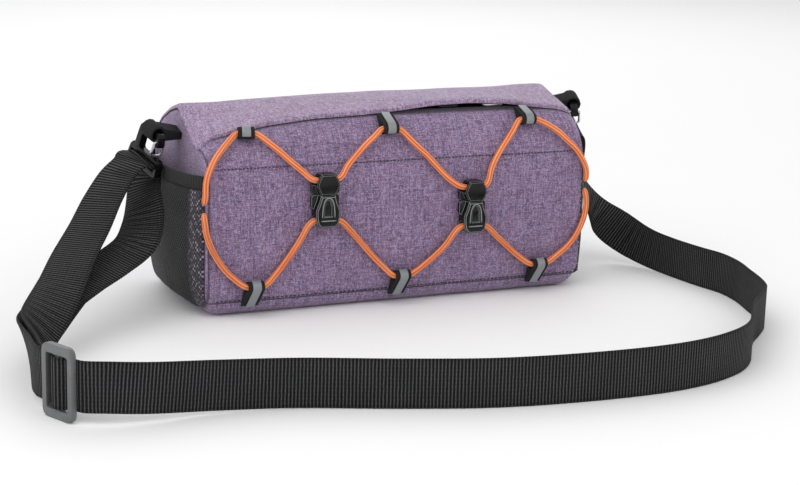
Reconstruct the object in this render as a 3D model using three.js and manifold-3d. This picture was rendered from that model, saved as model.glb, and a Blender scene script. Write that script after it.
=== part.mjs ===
// Bike handlebar bag with a shoulder strap, lying on a floor.
// Millimetres. X runs along the bag, Y to its back, Z up. The origin is under the middle of its flat bottom.
import * as THREE from 'three';
import { mergeVertices } from 'three/addons/utils/BufferGeometryUtils.js';
import Module from 'manifold-3d';

const wasm = await Module();
wasm.setup();

// Bag form
const bagLength = 240;
const bagDepth = 105;
const bagHeight = 118;
const wall = 3;
const bottomRadius = 13;
const endRounding = 2;
const footRounding = 10;
const frontBulge = 1.5;
const backBulge = 2;
const clearance = 0.3;

// Front panel and flap
const stitchHeight = bagHeight * 0.729;
const lipSetBack = 20;
const flapThickness = 2.6;
const flapOverhang = 2.5;
const flapGapHeight = 4;
const flapGapDepth = 40;
const backSeamY = 42;
const mouthEndMargin = 12;
const mouthBackMargin = 8;

// Zip
const tapeWidth = 12;
const tapeThickness = 1;
const tapeSag = 3.6;
const coilHeight = 1.5;
const coilWidth = 4;
const zipEndMargin = 18;
const sliderLength = 10;
const sliderWidth = 6;
const sliderHeight = 2.8;
const pullLength = 15;
const pullWidth = 7;
const pullThickness = 1.2;
const leftSliderAlong = 0.175;
const rightSliderAlong = 0.3;

// Mesh pockets
const pocketBulge = 12.5;
const pocketThickness = 1.4;
const pocketTop = bagHeight * 0.627;
const pocketFoot = 3;
const pocketSeamMargin = 3.5;
const pocketBackMargin = 8;
const pocketCornerLift = 7;
const bindingHeight = 8;
const bindingThickness = 2;

// Elastic cord, its webbing loops and its buckles
const cordDiameter = 3.5;
const cordFit = 0.65;
const loopThickness = 1.1;
const loopWidth = 9.5;
const stripWidth = 5;
const stripThickness = 0.5;
const bottomLoopLean = THREE.MathUtils.degToRad(14);
const buckleWidth = 17;
const buckleHeight = 31;
const buckleThickness = 9;
const buckleTunnel = 5.6;
const buckleRim = 1.2;
const buckleRelief = 1.6;
const wingThickness = 2.6;
const wingHeight = 8;
const cordDip = 0.3;

// Snap hooks, gates and sewn tabs
const hookThickness = 4.5;
const hookWidth = 31;
const hookBar = 3;
const hookSlotHeight = 4;
const eyeHeight = 11;
const eyeWidth = 13;
const hookArm = 4;
const gateOpening = 7;
const gateWire = 1.6;
const hookCorner = 2;
const tabWidth = 11;
const tabThickness = 1.4;
const tabLength = 22;
const hookStandOff = 18.5;

// Shoulder strap and its slider
const strapWidth = 25;
const strapThickness = 1.5;
const triglideHeight = 36;
const triglideWidth = 22;
const triglideThickness = 3;
const triglideBar = 3;
const barThinning = 1;
const floorGap = 0.2;
const strapSlack = 0.1;

// Handlebar straps on the back
const barDiameter = 31.8;
const barStrapWidth = 25;
const barStrapThickness = 2;
const barStrapSpacing = 120;
const barHeight = bagHeight * 0.61;
const barPatchHeight = 60;

// Outline of the top, seen from the end. across is a share of the depth from the middle,
// middle and gable are shares of the height, at the bag's middle and at its gabled left end.
const topOutline = [
  { across: -0.34, middle: 0.962, gable: 0.798 },
  { across: -0.31, middle: 0.970, gable: 0.810 },
  { across: -0.15, middle: 0.990, gable: 0.877 },
  { across: 0.02, middle: 1.000, gable: 0.983 },
  { across: 0.18, middle: 0.985, gable: 0.940 },
  { across: 0.33, middle: 0.930, gable: 0.880 },
  { across: 0.41, middle: 0.875, gable: 0.830 },
  { across: 0.47, middle: 0.800, gable: 0.760 },
  { across: 0.50, middle: 0.700, gable: 0.680 },
];

// The front panel above the stitch line, from the front face (0) back to its lip (1), and its rise to the lip.
const frontSlope = [
  { back: 0, rise: 0 },
  { back: 0.12, rise: 0.30 },
  { back: 0.30, rise: 0.58 },
  { back: 0.60, rise: 0.84 },
  { back: 1, rise: 1 },
];

// Changes along the bag. along is a share of the length. gable turns the outline from its middle form
// to the end's. lift is a share of the height. gap opens the flap's front edge over the zip.
const alongBag = [
  { along: -0.500, gable: 1.00, lift: 0.000, gap: 0 },
  { along: -0.480, gable: 0.55, lift: -0.008, gap: 0 },
  { along: -0.400, gable: 0.30, lift: -0.016, gap: 0 },
  { along: -0.320, gable: 0.13, lift: -0.014, gap: 0 },
  { along: -0.210, gable: 0.02, lift: -0.010, gap: 0 },
  { along: -0.075, gable: 0.00, lift: -0.004, gap: 0 },
  { along: 0.020, gable: 0.00, lift: 0.000, gap: 0.30 },
  { along: 0.100, gable: 0.00, lift: 0.000, gap: 0.80 },
  { along: 0.200, gable: 0.00, lift: 0.000, gap: 1.00 },
  { along: 0.300, gable: 0.00, lift: 0.000, gap: 0.75 },
  { along: 0.390, gable: 0.06, lift: 0.004, gap: 0.15 },
  { along: 0.440, gable: 0.16, lift: 0.014, gap: 0 },
  { along: 0.480, gable: 0.30, lift: 0.024, gap: 0 },
  { along: 0.500, gable: 0.45, lift: 0.018, gap: 0 },
];

// How a mesh pocket swells from its foot (0) to its top edge (1).
const pocketSwell = [
  { up: 0, out: 0 },
  { up: 0.06, out: 0.42 },
  { up: 0.12, out: 0.66 },
  { up: 0.30, out: 0.92 },
  { up: 0.55, out: 1.00 },
  { up: 0.80, out: 0.96 },
  { up: 1, out: 0.86 },
];

// Where the loops and buckles hold the cord. along is a share of the length. up runs from the floor (0) to the
// stitch line (1) and on to the lip (2). reach is a loop's length from the cord to its seam.
const topLoops = [
  { name: 'left', along: -0.39, up: 1.82, reach: 4.5 },
  { name: 'middle', along: -0.033, up: 1.632, reach: 11 },
  { name: 'right', along: 0.345, up: 1.69, reach: 10 },
];
const bottomLoops = [
  { name: 'left', along: -0.386, up: 0.214, reach: 11 },
  { name: 'middle', along: -0.008, up: 0.212, reach: 11 },
  { name: 'right', along: 0.372, up: 0.212, reach: 11 },
];
const buckles = [
  { name: 'left', along: -0.213, up: 0.773 },
  { name: 'right', along: 0.177, up: 0.666 },
];

// The cord's way over the front, chosen by hand: along and up as above, off is how far it hangs off the cloth,
// held names the loop or buckle that it goes through.
const upperCord = [
  { along: -0.506, up: 0.82, off: -0.2 },
  { along: -0.505, up: 0.93, off: 0.1 },
  { along: -0.494, up: 1.05, off: 0.5 },
  { along: -0.478, up: 1.3, off: 0.8 },
  { along: -0.457, up: 1.57, off: 0.8 },
  { along: -0.431, up: 1.76, off: 0.8 },
  { held: 'top left' },
  { along: -0.35, up: 1.64, off: 0.8 },
  { along: -0.32, up: 1.33, off: 0.8 },
  { along: -0.292, up: 1.05, off: 0.8 },
  { along: -0.266, up: 0.96, off: 0.9 },
  { held: 'left upper' },
  { along: -0.156, up: 0.985, off: 1.2 },
  { along: -0.13, up: 1.15, off: 0.8 },
  { along: -0.1, up: 1.37, off: 0.8 },
  { along: -0.07, up: 1.545, off: 0.8 },
  { held: 'top middle' },
  { along: 0.012, up: 1.46, off: 0.8 },
  { along: 0.033, up: 1.26, off: 0.8 },
  { along: 0.054, up: 1.08, off: 0.8 },
  { along: 0.082, up: 0.947, off: 0.7 },
  { along: 0.112, up: 0.864, off: 1 },
  { held: 'right upper' },
  { along: 0.23, up: 0.92, off: 1.2 },
  { along: 0.25, up: 1.03, off: 0.9 },
  { along: 0.274, up: 1.27, off: 0.8 },
  { along: 0.3, up: 1.5, off: 0.8 },
  { held: 'top right' },
  { along: 0.396, up: 1.6, off: 0.8 },
  { along: 0.425, up: 1.45, off: 0.8 },
  { along: 0.45, up: 1.23, off: 0.7 },
  { along: 0.47, up: 1.05, off: 0.6 },
  { along: 0.488, up: 0.953, off: 0.3 },
  { along: 0.506, up: 0.86, off: -0.6 },
  { along: 0.511, up: 0.779, off: -2 },
];
const lowerCord = [
  { along: -0.507, up: 0.669, off: -0.2 },
  { along: -0.504, up: 0.59, off: 0.1 },
  { along: -0.495, up: 0.51, off: 0.3 },
  { along: -0.479, up: 0.42, off: 0.3 },
  { along: -0.458, up: 0.335, off: 0.4 },
  { along: -0.432, up: 0.265, off: 0.4 },
  { held: 'bottom left' },
  { along: -0.338, up: 0.275, off: 0.4 },
  { along: -0.307, up: 0.38, off: 0.5 },
  { along: -0.275, up: 0.505, off: 0.7 },
  { held: 'left lower' },
  { along: -0.148, up: 0.555, off: 0.9 },
  { along: -0.115, up: 0.455, off: 0.5 },
  { along: -0.083, up: 0.355, off: 0.4 },
  { along: -0.052, up: 0.27, off: 0.4 },
  { held: 'bottom middle' },
  { along: 0.043, up: 0.252, off: 0.4 },
  { along: 0.078, up: 0.322, off: 0.4 },
  { along: 0.11, up: 0.402, off: 0.6 },
  { held: 'right lower' },
  { along: 0.244, up: 0.45, off: 0.9 },
  { along: 0.274, up: 0.378, off: 0.5 },
  { along: 0.308, up: 0.295, off: 0.4 },
  { held: 'bottom right' },
  { along: 0.424, up: 0.256, off: 0.4 },
  { along: 0.452, up: 0.308, off: 0.3 },
  { along: 0.479, up: 0.384, off: 0.2 },
  { along: 0.504, up: 0.512, off: -0.4 },
  { along: 0.512, up: 0.628, off: -1.2 },
  { along: 0.511, up: 0.703, off: -2 },
];
const cordEndLift = 4.5;
const cordSteps = 62;

// The strap's middle line, chosen by hand. along and out (to the back) are shares of the bag's length, rise is a
// share of the hook's height, and wx, wy, wz is the direction from its lower to its upper edge.
// First the run from the right hook round the floor to the slider.
const strapRun = [
  { along: 0.615, out: 0.004, rise: 0.483, wx: 0.25, wy: 0.85, wz: 0.4 },
  { along: 0.662, out: 0.025, rise: 0.309, wx: 0.3, wy: 0.7, wz: 0.6 },
  { along: 0.711, out: 0.025, rise: 0.166, wx: 0.35, wy: 0.45, wz: 0.8 },
  { along: 0.758, out: -0.021, rise: 0.064, wx: 0.25, wy: 0.15, wz: 0.95 },
  { along: 0.783, out: -0.1, rise: 0.013, wx: 0.08, wy: 0, wz: 1 },
  { along: 0.796, out: -0.2, rise: 0, wx: 0, wy: 0, wz: 1 },
  { along: 0.808, out: -0.313, rise: 0, wx: 0, wy: 0, wz: 1 },
  { along: 0.821, out: -0.388, rise: 0, wx: 0, wy: 0, wz: 1 },
  { along: 0.813, out: -0.471, rise: 0, wx: 0, wy: 0, wz: 1 },
  { along: 0.787, out: -0.558, rise: 0, wx: 0, wy: 0, wz: 1 },
  { along: 0.76, out: -0.642, rise: 0, wx: 0, wy: 0, wz: 1 },
  { along: 0.733, out: -0.7, rise: 0, wx: 0, wy: 0, wz: 1 },
  { along: 0.683, out: -0.754, rise: 0, wx: 0, wy: 0, wz: 1 },
  { along: 0.625, out: -0.808, rise: 0, wx: 0, wy: 0, wz: 1 },
  { along: 0.571, out: -0.875, rise: 0, wx: 0, wy: 0, wz: 1 },
  { along: 0.527, out: -0.935, rise: 0, wx: 0, wy: 0, wz: 1 },
  { along: 0.471, out: -0.985, rise: 0, wx: 0, wy: 0, wz: 1 },
  { along: 0.375, out: -1.031, rise: 0, wx: 0, wy: 0, wz: 1 },
  { along: 0.258, out: -1.056, rise: 0, wx: 0, wy: 0, wz: 1 },
  { along: 0.071, out: -1.056, rise: 0, wx: 0, wy: 0, wz: 1 },
  { along: -0.146, out: -1.027, rise: 0, wx: 0, wy: 0, wz: 1 },
  { along: -0.342, out: -0.965, rise: 0, wx: 0, wy: 0, wz: 1 },
  { along: -0.529, out: -0.896, rise: 0.002, wx: 0, wy: 0, wz: 1 },
  { along: -0.688, out: -0.871, rise: 0.013, wx: 0, wy: 0, wz: 1 },
  { along: -0.833, out: -0.875, rise: 0.039, wx: 0, wy: 0, wz: 1 },
  { along: -0.912, out: -0.863, rise: 0.052, wx: 0, wy: 0, wz: 1 },
];
// Then the layer that hangs from the left hook's inner side, on its way up.
const strapHanging = [
  { along: -1.012, out: -0.667, rise: 0.042, wx: 0, wy: 0, wz: 1 },
  { along: -0.996, out: -0.592, rise: 0.025, wx: -0.03, wy: 0, wz: 1 },
  { along: -0.988, out: -0.517, rise: 0.021, wx: -0.22, wy: 0.05, wz: 0.97 },
  { along: -0.966, out: -0.447, rise: 0.033, wx: -0.55, wy: 0.15, wz: 0.82 },
  { along: -0.925, out: -0.383, rise: 0.069, wx: -0.85, wy: 0.3, wz: 0.42 },
  { along: -0.869, out: -0.308, rise: 0.13, wx: -0.93, wy: 0.32, wz: 0.1 },
  { along: -0.804, out: -0.258, rise: 0.19, wx: -0.93, wy: 0.33, wz: 0.05 },
  { along: -0.727, out: -0.212, rise: 0.256, wx: -0.9, wy: 0.38, wz: 0.05 },
  { along: -0.656, out: -0.163, rise: 0.333, wx: -0.82, wy: 0.52, wz: 0.08 },
  { along: -0.614, out: -0.085, rise: 0.432, wx: -0.6, wy: 0.78, wz: 0.02 },
  { along: -0.595, out: -0.022, rise: 0.553, wx: -0.3, wy: 0.95, wz: 0.1 },
];
// Then the outer layer, from the left hook's outer side back down to the slider.
const strapOuter = [
  { along: -0.626, out: -0.033, rise: 0.767, wx: -0.25, wy: 0.95, wz: 0.18 },
  { along: -0.664, out: -0.05, rise: 0.701, wx: -0.4, wy: 0.9, wz: 0.15 },
  { along: -0.71, out: -0.087, rise: 0.58, wx: -0.58, wy: 0.81, wz: 0.07 },
  { along: -0.757, out: -0.144, rise: 0.448, wx: -0.7, wy: 0.7, wz: 0.04 },
  { along: -0.815, out: -0.221, rise: 0.322, wx: -0.86, wy: 0.48, wz: 0 },
  { along: -0.873, out: -0.317, rise: 0.196, wx: -0.93, wy: 0.32, wz: 0.1 },
  { along: -0.921, out: -0.394, rise: 0.113, wx: -0.85, wy: 0.3, wz: 0.42 },
  { along: -0.955, out: -0.453, rise: 0.062, wx: -0.55, wy: 0.15, wz: 0.82 },
  { along: -0.976, out: -0.52, rise: 0.036, wx: -0.22, wy: 0.05, wz: 0.97 },
  { along: -0.984, out: -0.594, rise: 0.031, wx: -0.03, wy: 0, wz: 1 },
  { along: -1, out: -0.673, rise: 0.044, wx: 0, wy: 0, wz: 1 },
];
const strapSteps = 2;

// Where the hooks hang: across is a share of the bag's depth and rise one of its height. along is the way their
// slot runs, up the way from their slot to their eye.
const hookPlaces = {
  left: { side: -1, across: -0.043, rise: 0.797, along: [0.25, -0.92, -0.29], up: [0.2, -0.24, 0.95] },
  right: { side: 1, across: -0.024, rise: 0.856, along: [-0.25, -0.92, -0.29], up: [-0.2, -0.24, 0.95] },
};
const triglidePlace = { along: -0.99, out: -0.798, towardHook: [-0.4, 0.92, 0] };

const purple = 0x86738f;
const lightPurple = 0x9484a4;
const black = 0x262628;
const charcoal = 0x5c5d5e;
const orange = 0xee7a3c;
const grey = 0x8f9193;
const steel = 0xc4c6c8;

const finishes = {
  cloth: new THREE.MeshStandardMaterial({ color: purple, roughness: 0.95 }),
  flapCloth: new THREE.MeshStandardMaterial({ color: lightPurple, roughness: 0.95 }),
  webbing: new THREE.MeshStandardMaterial({ color: black, roughness: 0.9 }),
  mesh: new THREE.MeshStandardMaterial({ color: black, roughness: 0.95 }),
  cord: new THREE.MeshStandardMaterial({ color: orange, roughness: 0.8 }),
  reflective: new THREE.MeshStandardMaterial({ color: grey, roughness: 0.5 }),
  plastic: new THREE.MeshStandardMaterial({ color: black, roughness: 0.4 }),
  satinPlastic: new THREE.MeshStandardMaterial({ color: charcoal, roughness: 0.5 }),
  wire: new THREE.MeshStandardMaterial({ color: steel, roughness: 0.25, metalness: 1 }),
};

// Small tools for the shapes

function lookUp(table, key, column, at) {
  const last = table.length - 1;
  if (at <= table[0][key]) return table[0][column];
  for (let i = 1; i <= last; i += 1) {
    if (at <= table[i][key]) {
      const share = (at - table[i - 1][key]) / (table[i][key] - table[i - 1][key]);
      return THREE.MathUtils.lerp(table[i - 1][column], table[i][column], share);
    }
  }
  return table[last][column];
}

function steps(count) {
  return Array.from({ length: count + 1 }, (_, i) => i / count);
}

// A closed surface from its points and triangles, turned so that its faces point out.
function closedSurface(points, triangles) {
  let volume = 0;
  for (const [a, b, c] of triangles) {
    volume += points[a].dot(new THREE.Vector3().crossVectors(points[b], points[c]));
  }
  const outward = volume > 0 ? triangles : triangles.map(([a, b, c]) => [a, c, b]);
  const geometry = new THREE.BufferGeometry();
  geometry.setAttribute('position', new THREE.Float32BufferAttribute(points.flatMap((p) => p.toArray()), 3));
  geometry.setIndex(outward.flat());
  return geometry;
}

// A body through rings of points, closed at both ends round the middle of its end rings.
function loft(rings) {
  const count = rings[0].length;
  const points = rings.flat();
  const triangles = [];
  for (let i = 0; i < rings.length - 1; i += 1) {
    for (let j = 0; j < count; j += 1) {
      const a = i * count + j;
      const b = i * count + (j + 1) % count;
      triangles.push([a, b, b + count], [a, b + count, a + count]);
    }
  }
  for (const [ring, start] of [[rings[0], 0], [rings[rings.length - 1], (rings.length - 1) * count]]) {
    const middle = new THREE.Vector3();
    for (const p of ring) middle.addScaledVector(p, 1 / count);
    points.push(middle);
    for (let j = 0; j < count; j += 1) {
      const pair = [start + j, start + (j + 1) % count];
      triangles.push(start === 0 ? [points.length - 1, pair[1], pair[0]] : [points.length - 1, pair[0], pair[1]]);
    }
  }
  return closedSurface(points, triangles);
}

// A sheet with thickness, between an outer and an inner grid of points of the same size.
function sheet(outer, inner) {
  const rows = outer.length;
  const columns = outer[0].length;
  const points = [...outer.flat(), ...inner.flat()];
  const under = rows * columns;
  const triangles = [];
  const quad = (a, b, c, d) => triangles.push([a, b, c], [a, c, d]);
  const at = (i, j) => i * columns + j;
  for (let i = 0; i < rows - 1; i += 1) {
    for (let j = 0; j < columns - 1; j += 1) {
      quad(at(i, j), at(i + 1, j), at(i + 1, j + 1), at(i, j + 1));
      quad(under + at(i, j), under + at(i, j + 1), under + at(i + 1, j + 1), under + at(i + 1, j));
    }
  }
  for (let i = 0; i < rows - 1; i += 1) {
    quad(at(i, 0), under + at(i, 0), under + at(i + 1, 0), at(i + 1, 0));
    const last = columns - 1;
    quad(at(i, last), at(i + 1, last), under + at(i + 1, last), under + at(i, last));
  }
  for (let j = 0; j < columns - 1; j += 1) {
    quad(at(0, j), at(0, j + 1), under + at(0, j + 1), under + at(0, j));
    const last = rows - 1;
    quad(at(last, j), under + at(last, j), under + at(last, j + 1), at(last, j + 1));
  }
  return closedSurface(points, triangles);
}

function toManifold(geometry) {
  const bare = geometry.clone();
  bare.deleteAttribute('normal');
  bare.deleteAttribute('uv');
  const merged = mergeVertices(bare, 1e-4);
  return new wasm.Manifold(new wasm.Mesh({
    numProp: 3,
    vertProperties: new Float32Array(merged.attributes.position.array),
    triVerts: new Uint32Array(merged.index.array),
  }));
}

function fromManifold(solid) {
  const mesh = solid.getMesh();
  const geometry = new THREE.BufferGeometry();
  geometry.setAttribute('position', new THREE.BufferAttribute(new Float32Array(mesh.vertProperties), 3));
  geometry.setIndex(new THREE.BufferAttribute(new Uint32Array(mesh.triVerts), 1));
  return geometry;
}

function cut(geometry, ...tools) {
  return fromManifold(tools.reduce((solid, tool) => solid.subtract(toManifold(tool)), toManifold(geometry)));
}

function join(...geometries) {
  const [first, ...rest] = geometries.map(toManifold);
  return fromManifold(rest.reduce((solid, next) => solid.add(next), first));
}

// Turns a shape drawn in x, y and z into the three given directions at an origin.
function placed(geometry, origin, xAxis, yAxis, zAxis) {
  const matrix = new THREE.Matrix4().makeBasis(xAxis, yAxis, zAxis).setPosition(origin);
  const moved = geometry.clone().applyMatrix4(matrix);
  if (matrix.determinant() > 0) return moved;
  const source = moved.index ? moved.toNonIndexed() : moved;
  const positions = source.attributes.position;
  const flipped = new Float32Array(positions.count * 3);
  for (let i = 0; i < positions.count; i += 3) {
    [0, 2, 1].forEach((from, to) => {
      new THREE.Vector3().fromBufferAttribute(positions, i + from).toArray(flipped, (i + to) * 3);
    });
  }
  const result = new THREE.BufferGeometry();
  result.setAttribute('position', new THREE.BufferAttribute(flipped, 3));
  return result;
}

function extruded(shape, depth, curveSegments = 4, bevel = 0) {
  const geometry = new THREE.ExtrudeGeometry(shape, {
    depth: depth - 2 * bevel,
    curveSegments,
    bevelEnabled: bevel > 0,
    bevelThickness: bevel,
    bevelSize: bevel,
    bevelOffset: -bevel,
    bevelSegments: 1,
  });
  geometry.translate(0, 0, bevel - depth / 2);
  return geometry;
}

function roundedRectangle(width, height, radius, x = 0, y = 0) {
  const shape = new THREE.Shape();
  const left = x - width / 2;
  const right = x + width / 2;
  const low = y - height / 2;
  const high = y + height / 2;
  shape.moveTo(left + radius, low);
  shape.lineTo(right - radius, low);
  shape.absarc(right - radius, low + radius, radius, -Math.PI / 2, 0);
  shape.lineTo(right, high - radius);
  shape.absarc(right - radius, high - radius, radius, 0, Math.PI / 2);
  shape.lineTo(left + radius, high);
  shape.absarc(left + radius, high - radius, radius, Math.PI / 2, Math.PI);
  shape.lineTo(left, low + radius);
  shape.absarc(left + radius, low + radius, radius, Math.PI, Math.PI * 1.5);
  return shape;
}

function circle(radius) {
  const shape = new THREE.Shape();
  shape.absarc(0, 0, radius, 0, Math.PI * 2);
  return shape;
}

function tube(points, radius, sides, pieces) {
  const curve = new THREE.CatmullRomCurve3(points, false, 'centripetal');
  const section = new THREE.Shape(steps(sides).slice(0, -1).map((share) => {
    const angle = share * Math.PI * 2;
    return new THREE.Vector2(Math.cos(angle) * radius, Math.sin(angle) * radius);
  }));
  return new THREE.ExtrudeGeometry(section, { steps: pieces, bevelEnabled: false, extrudePath: curve });
}

// The bag's surfaces

function along(column, x) {
  return lookUp(alongBag, 'along', column, x / bagLength);
}

// Height of the bag's top outline, which is the outer face of the flap.
function topAt(x, y) {
  const gable = along('gable', x);
  const middle = lookUp(topOutline, 'across', 'middle', y / bagDepth);
  const end = lookUp(topOutline, 'across', 'gable', y / bagDepth);
  return bagHeight * (THREE.MathUtils.lerp(middle, end, gable) + along('lift', x));
}

const frontY = -bagDepth / 2;
const lipY = frontY + lipSetBack;

// Where the body and the flap over it bend together, from the lip to the back seam.
const flapRows = [
  lipY,
  ...topOutline.map((row) => row.across * bagDepth).filter((y) => y > lipY + 1 && y < backSeamY - 1),
  backSeamY,
];

function underFlapAt(x, y) {
  return topAt(x, y) - flapThickness;
}

function lipHeight(x) {
  return underFlapAt(x, lipY) - clearance;
}

function frontSlopeAt(x, back) {
  const rise = lookUp(frontSlope, 'back', 'rise', back);
  return THREE.MathUtils.lerp(stitchHeight, lipHeight(x), rise);
}

function bulgeAt(x, z, depth) {
  const upright = Math.sin(Math.PI * THREE.MathUtils.clamp(z / stitchHeight, 0, 1));
  return depth * upright * (1 - (2 * x / bagLength) ** 4);
}

// The front face's Y at a height, on the upright panel or on the slope above the stitch line.
function faceYAt(x, z) {
  if (z <= stitchHeight) return frontY - bulgeAt(x, z, frontBulge);
  const rise = (z - stitchHeight) / (lipHeight(x) - stitchHeight);
  return frontY + lookUp(frontSlope, 'rise', 'back', rise) * lipSetBack;
}

// One cross section of the body, from the front's foot up, over the top and down the back.
function bodySection(x) {
  const ring = [];
  const corner = (centreY, from, to) => steps(4).forEach((share) => {
    const angle = THREE.MathUtils.lerp(from, to, share);
    ring.push([centreY + bottomRadius * Math.cos(angle), bottomRadius + bottomRadius * Math.sin(angle)]);
  });
  corner(frontY + bottomRadius, Math.PI * 1.5, Math.PI);
  for (const share of [0.33, 0.66]) {
    const z = THREE.MathUtils.lerp(bottomRadius, stitchHeight, share);
    ring.push([frontY - bulgeAt(x, z, frontBulge), z]);
  }
  for (const { back } of frontSlope) ring.push([frontY + back * lipSetBack, frontSlopeAt(x, back)]);
  for (const y of flapRows.slice(1)) ring.push([y, underFlapAt(x, y) - clearance]);
  ring.push([backSeamY + clearance, topAt(x, backSeamY)]);
  ring.push([bagDepth * 0.47, topAt(x, bagDepth * 0.47)]);
  for (const share of [1, 0.6, 0.3]) {
    const z = THREE.MathUtils.lerp(bottomRadius, topAt(x, bagDepth / 2), share);
    ring.push([bagDepth / 2 + bulgeAt(x, z, backBulge), z]);
  }
  corner(bagDepth / 2 - bottomRadius, 0, -Math.PI / 2);
  return ring.map(([y, z]) => [y, z + endLift(x) * Math.max(0, 1 - z / (2 * bottomRadius))]);
}

// How far the bottom curves up towards the bag's ends.
function endLift(x) {
  const beyond = THREE.MathUtils.clamp(Math.abs(x) - halfBag + footRounding, 0, footRounding);
  return footRounding - Math.sqrt(footRounding ** 2 - beyond ** 2);
}

// The section drawn smaller all round by an inset, kept on the floor where the inset is that of the rounding.
function insetSection(x, inset) {
  const high = topAt(x, 0);
  return bodySection(x).map(([y, z]) => [
    y * (1 - 2 * inset / bagDepth),
    inset + z * (1 - 2 * inset / high),
  ]);
}

const stations = [-0.48, -0.45, -0.4, -0.32, -0.21, -0.075, 0.02, 0.1, 0.2, 0.3, 0.39, 0.44, 0.48];

function bodyLoft(inset, halfLength, rounding) {
  const ring = (x, extra) => insetSection(x, inset + extra).map(([y, z]) => new THREE.Vector3(x, y, z));
  const rings = [];
  if (rounding > 0) rings.push(ring(-halfLength, rounding));
  rings.push(ring(-halfLength + rounding, 0));
  for (const share of stations) {
    const x = share * bagLength;
    rings.push(ring(x, 0));
  }
  rings.push(ring(halfLength - rounding, 0));
  if (rounding > 0) rings.push(ring(halfLength, rounding));
  return loft(rings);
}

const halfBag = bagLength / 2;

function bagBody() {
  const outer = bodyLoft(0, halfBag, endRounding);
  const hollow = bodyLoft(wall, halfBag - wall, 0);
  const mouthFront = lipY + wall;
  const mouthBack = backSeamY - mouthBackMargin;
  const mouthShape = roundedRectangle(
    bagLength - 2 * mouthEndMargin, mouthBack - mouthFront, 8, 0, (mouthFront + mouthBack) / 2,
  );
  const mouth = extruded(mouthShape, bagHeight, 3);
  mouth.translate(0, 0, bagHeight / 2 + stitchHeight);
  return cut(outer, hollow, mouth);
}

// How far the flap's free edge is raised over the zip, fading out towards the ridge.
function gapAt(x, y) {
  const fade = THREE.MathUtils.clamp(1 - (y - lipY) / flapGapDepth, 0, 1);
  return flapGapHeight * along('gap', x) * fade * fade;
}

function flapGrid(drop) {
  const corner = halfBag - endRounding;
  const xs = [-halfBag, -corner, ...stations.map((share) => share * bagLength), corner, halfBag];
  return xs.map((x) => {
    const isEnd = Math.abs(x) > corner;
    const slack = isEnd && drop === 0 ? endRounding / 2 : 0;
    const narrowing = isEnd ? 1 - 2 * endRounding / bagDepth : 1;
    return [lipY - flapOverhang, ...flapRows].map((y) => {
      const under = y < lipY ? frontSlopeAt(x, (y - frontY) / lipSetBack) + clearance : underFlapAt(x, y);
      const z = under + gapAt(x, y) + flapThickness - drop - slack;
      return new THREE.Vector3(x, y * narrowing, z);
    });
  });
}

function topFlap() {
  return sheet(flapGrid(0), flapGrid(flapThickness));
}

// The zip's tape runs from the lip's rear edge up to the flap, sagging between them.
const tapeFront = lipY + wall + clearance;

function tapeAt(x, share) {
  const y = tapeFront + share * tapeWidth;
  const front = underFlapAt(x, lipY + wall) - 2 * clearance;
  const rearY = tapeFront + tapeWidth;
  const rear = underFlapAt(x, rearY) + gapAt(x, rearY) - clearance;
  return new THREE.Vector3(x, y, THREE.MathUtils.lerp(front, rear, share) - tapeSag * Math.sin(Math.PI * share));
}

function zipTape() {
  const halfCoil = coilWidth / tapeWidth / 2;
  const across = [
    { share: 0, raised: 0 },
    { share: 0.25, raised: 0 },
    { share: 0.5 - halfCoil, raised: 0 },
    { share: 0.5 - halfCoil / 2, raised: 0.85 },
    { share: 0.5 + halfCoil / 2, raised: 0.85 },
    { share: 0.5 + halfCoil, raised: 0 },
    { share: 0.75, raised: 0 },
    { share: 1, raised: 0 },
  ];
  const reach = halfBag - zipEndMargin;
  const xs = steps(12).map((share) => THREE.MathUtils.lerp(-reach, reach, share));
  const grid = (lower) => xs.map((x) => across.map(({ share, raised }) => {
    const point = tapeAt(x, share);
    point.z += lower ? -tapeThickness : raised * coilHeight;
    return point;
  }));
  return sheet(grid(false), grid(true));
}

function zipSlider(share) {
  const x = share * bagLength;
  const seat = tapeAt(x, 0.5);
  const body = extruded(roundedRectangle(sliderLength, sliderWidth, 2.5), sliderHeight, 2);
  body.translate(0, 0, sliderHeight / 2);
  const ring = roundedRectangle(pullLength, pullWidth, pullWidth / 2 - 0.1, 0, 0);
  ring.holes.push(roundedRectangle(pullLength - 4, pullWidth - 4, (pullWidth - 4) / 2 - 0.1));
  const pull = extruded(ring, pullThickness, 2);
  pull.rotateX(THREE.MathUtils.degToRad(6));
  pull.translate(-sliderLength / 2 + 1, -sliderWidth / 2 - 1, sliderHeight - 1.2);
  const slider = join(body, pull);
  return slider.translate(x, seat.y - 0.8, seat.z + coilHeight + clearance);
}

// A mesh pocket: across runs from the front seam (0) to the back one (1), up from its foot to its top edge.
function pocketPoint(side, across, up, extra) {
  const y = THREE.MathUtils.lerp(frontY + pocketSeamMargin, bagDepth / 2 - pocketBackMargin, across);
  const foot = pocketFoot + pocketCornerLift * Math.abs(2 * across - 1) ** 5;
  const z = THREE.MathUtils.lerp(foot, pocketTop, Math.min(up, 1)) + Math.max(up - 1, 0) * bindingHeight;
  const swell = lookUp(pocketSwell, 'up', 'out', Math.min(up, 1)) * Math.sin(Math.PI * across) ** 0.6;
  const below = Math.max(footRounding - z, 0);
  const tuck = footRounding - Math.sqrt(footRounding ** 2 - below ** 2);
  return new THREE.Vector3(side * (halfBag + clearance - tuck + pocketBulge * swell + extra), y, z);
}

function meshPocket(side) {
  const ups = [0, 0.06, 0.12, 0.3, 0.55, 0.8, 1];
  const grid = (extra) => steps(12).map((across) => ups.map((up) => pocketPoint(side, across, up, extra)));
  return sheet(grid(pocketThickness), grid(0));
}

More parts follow.
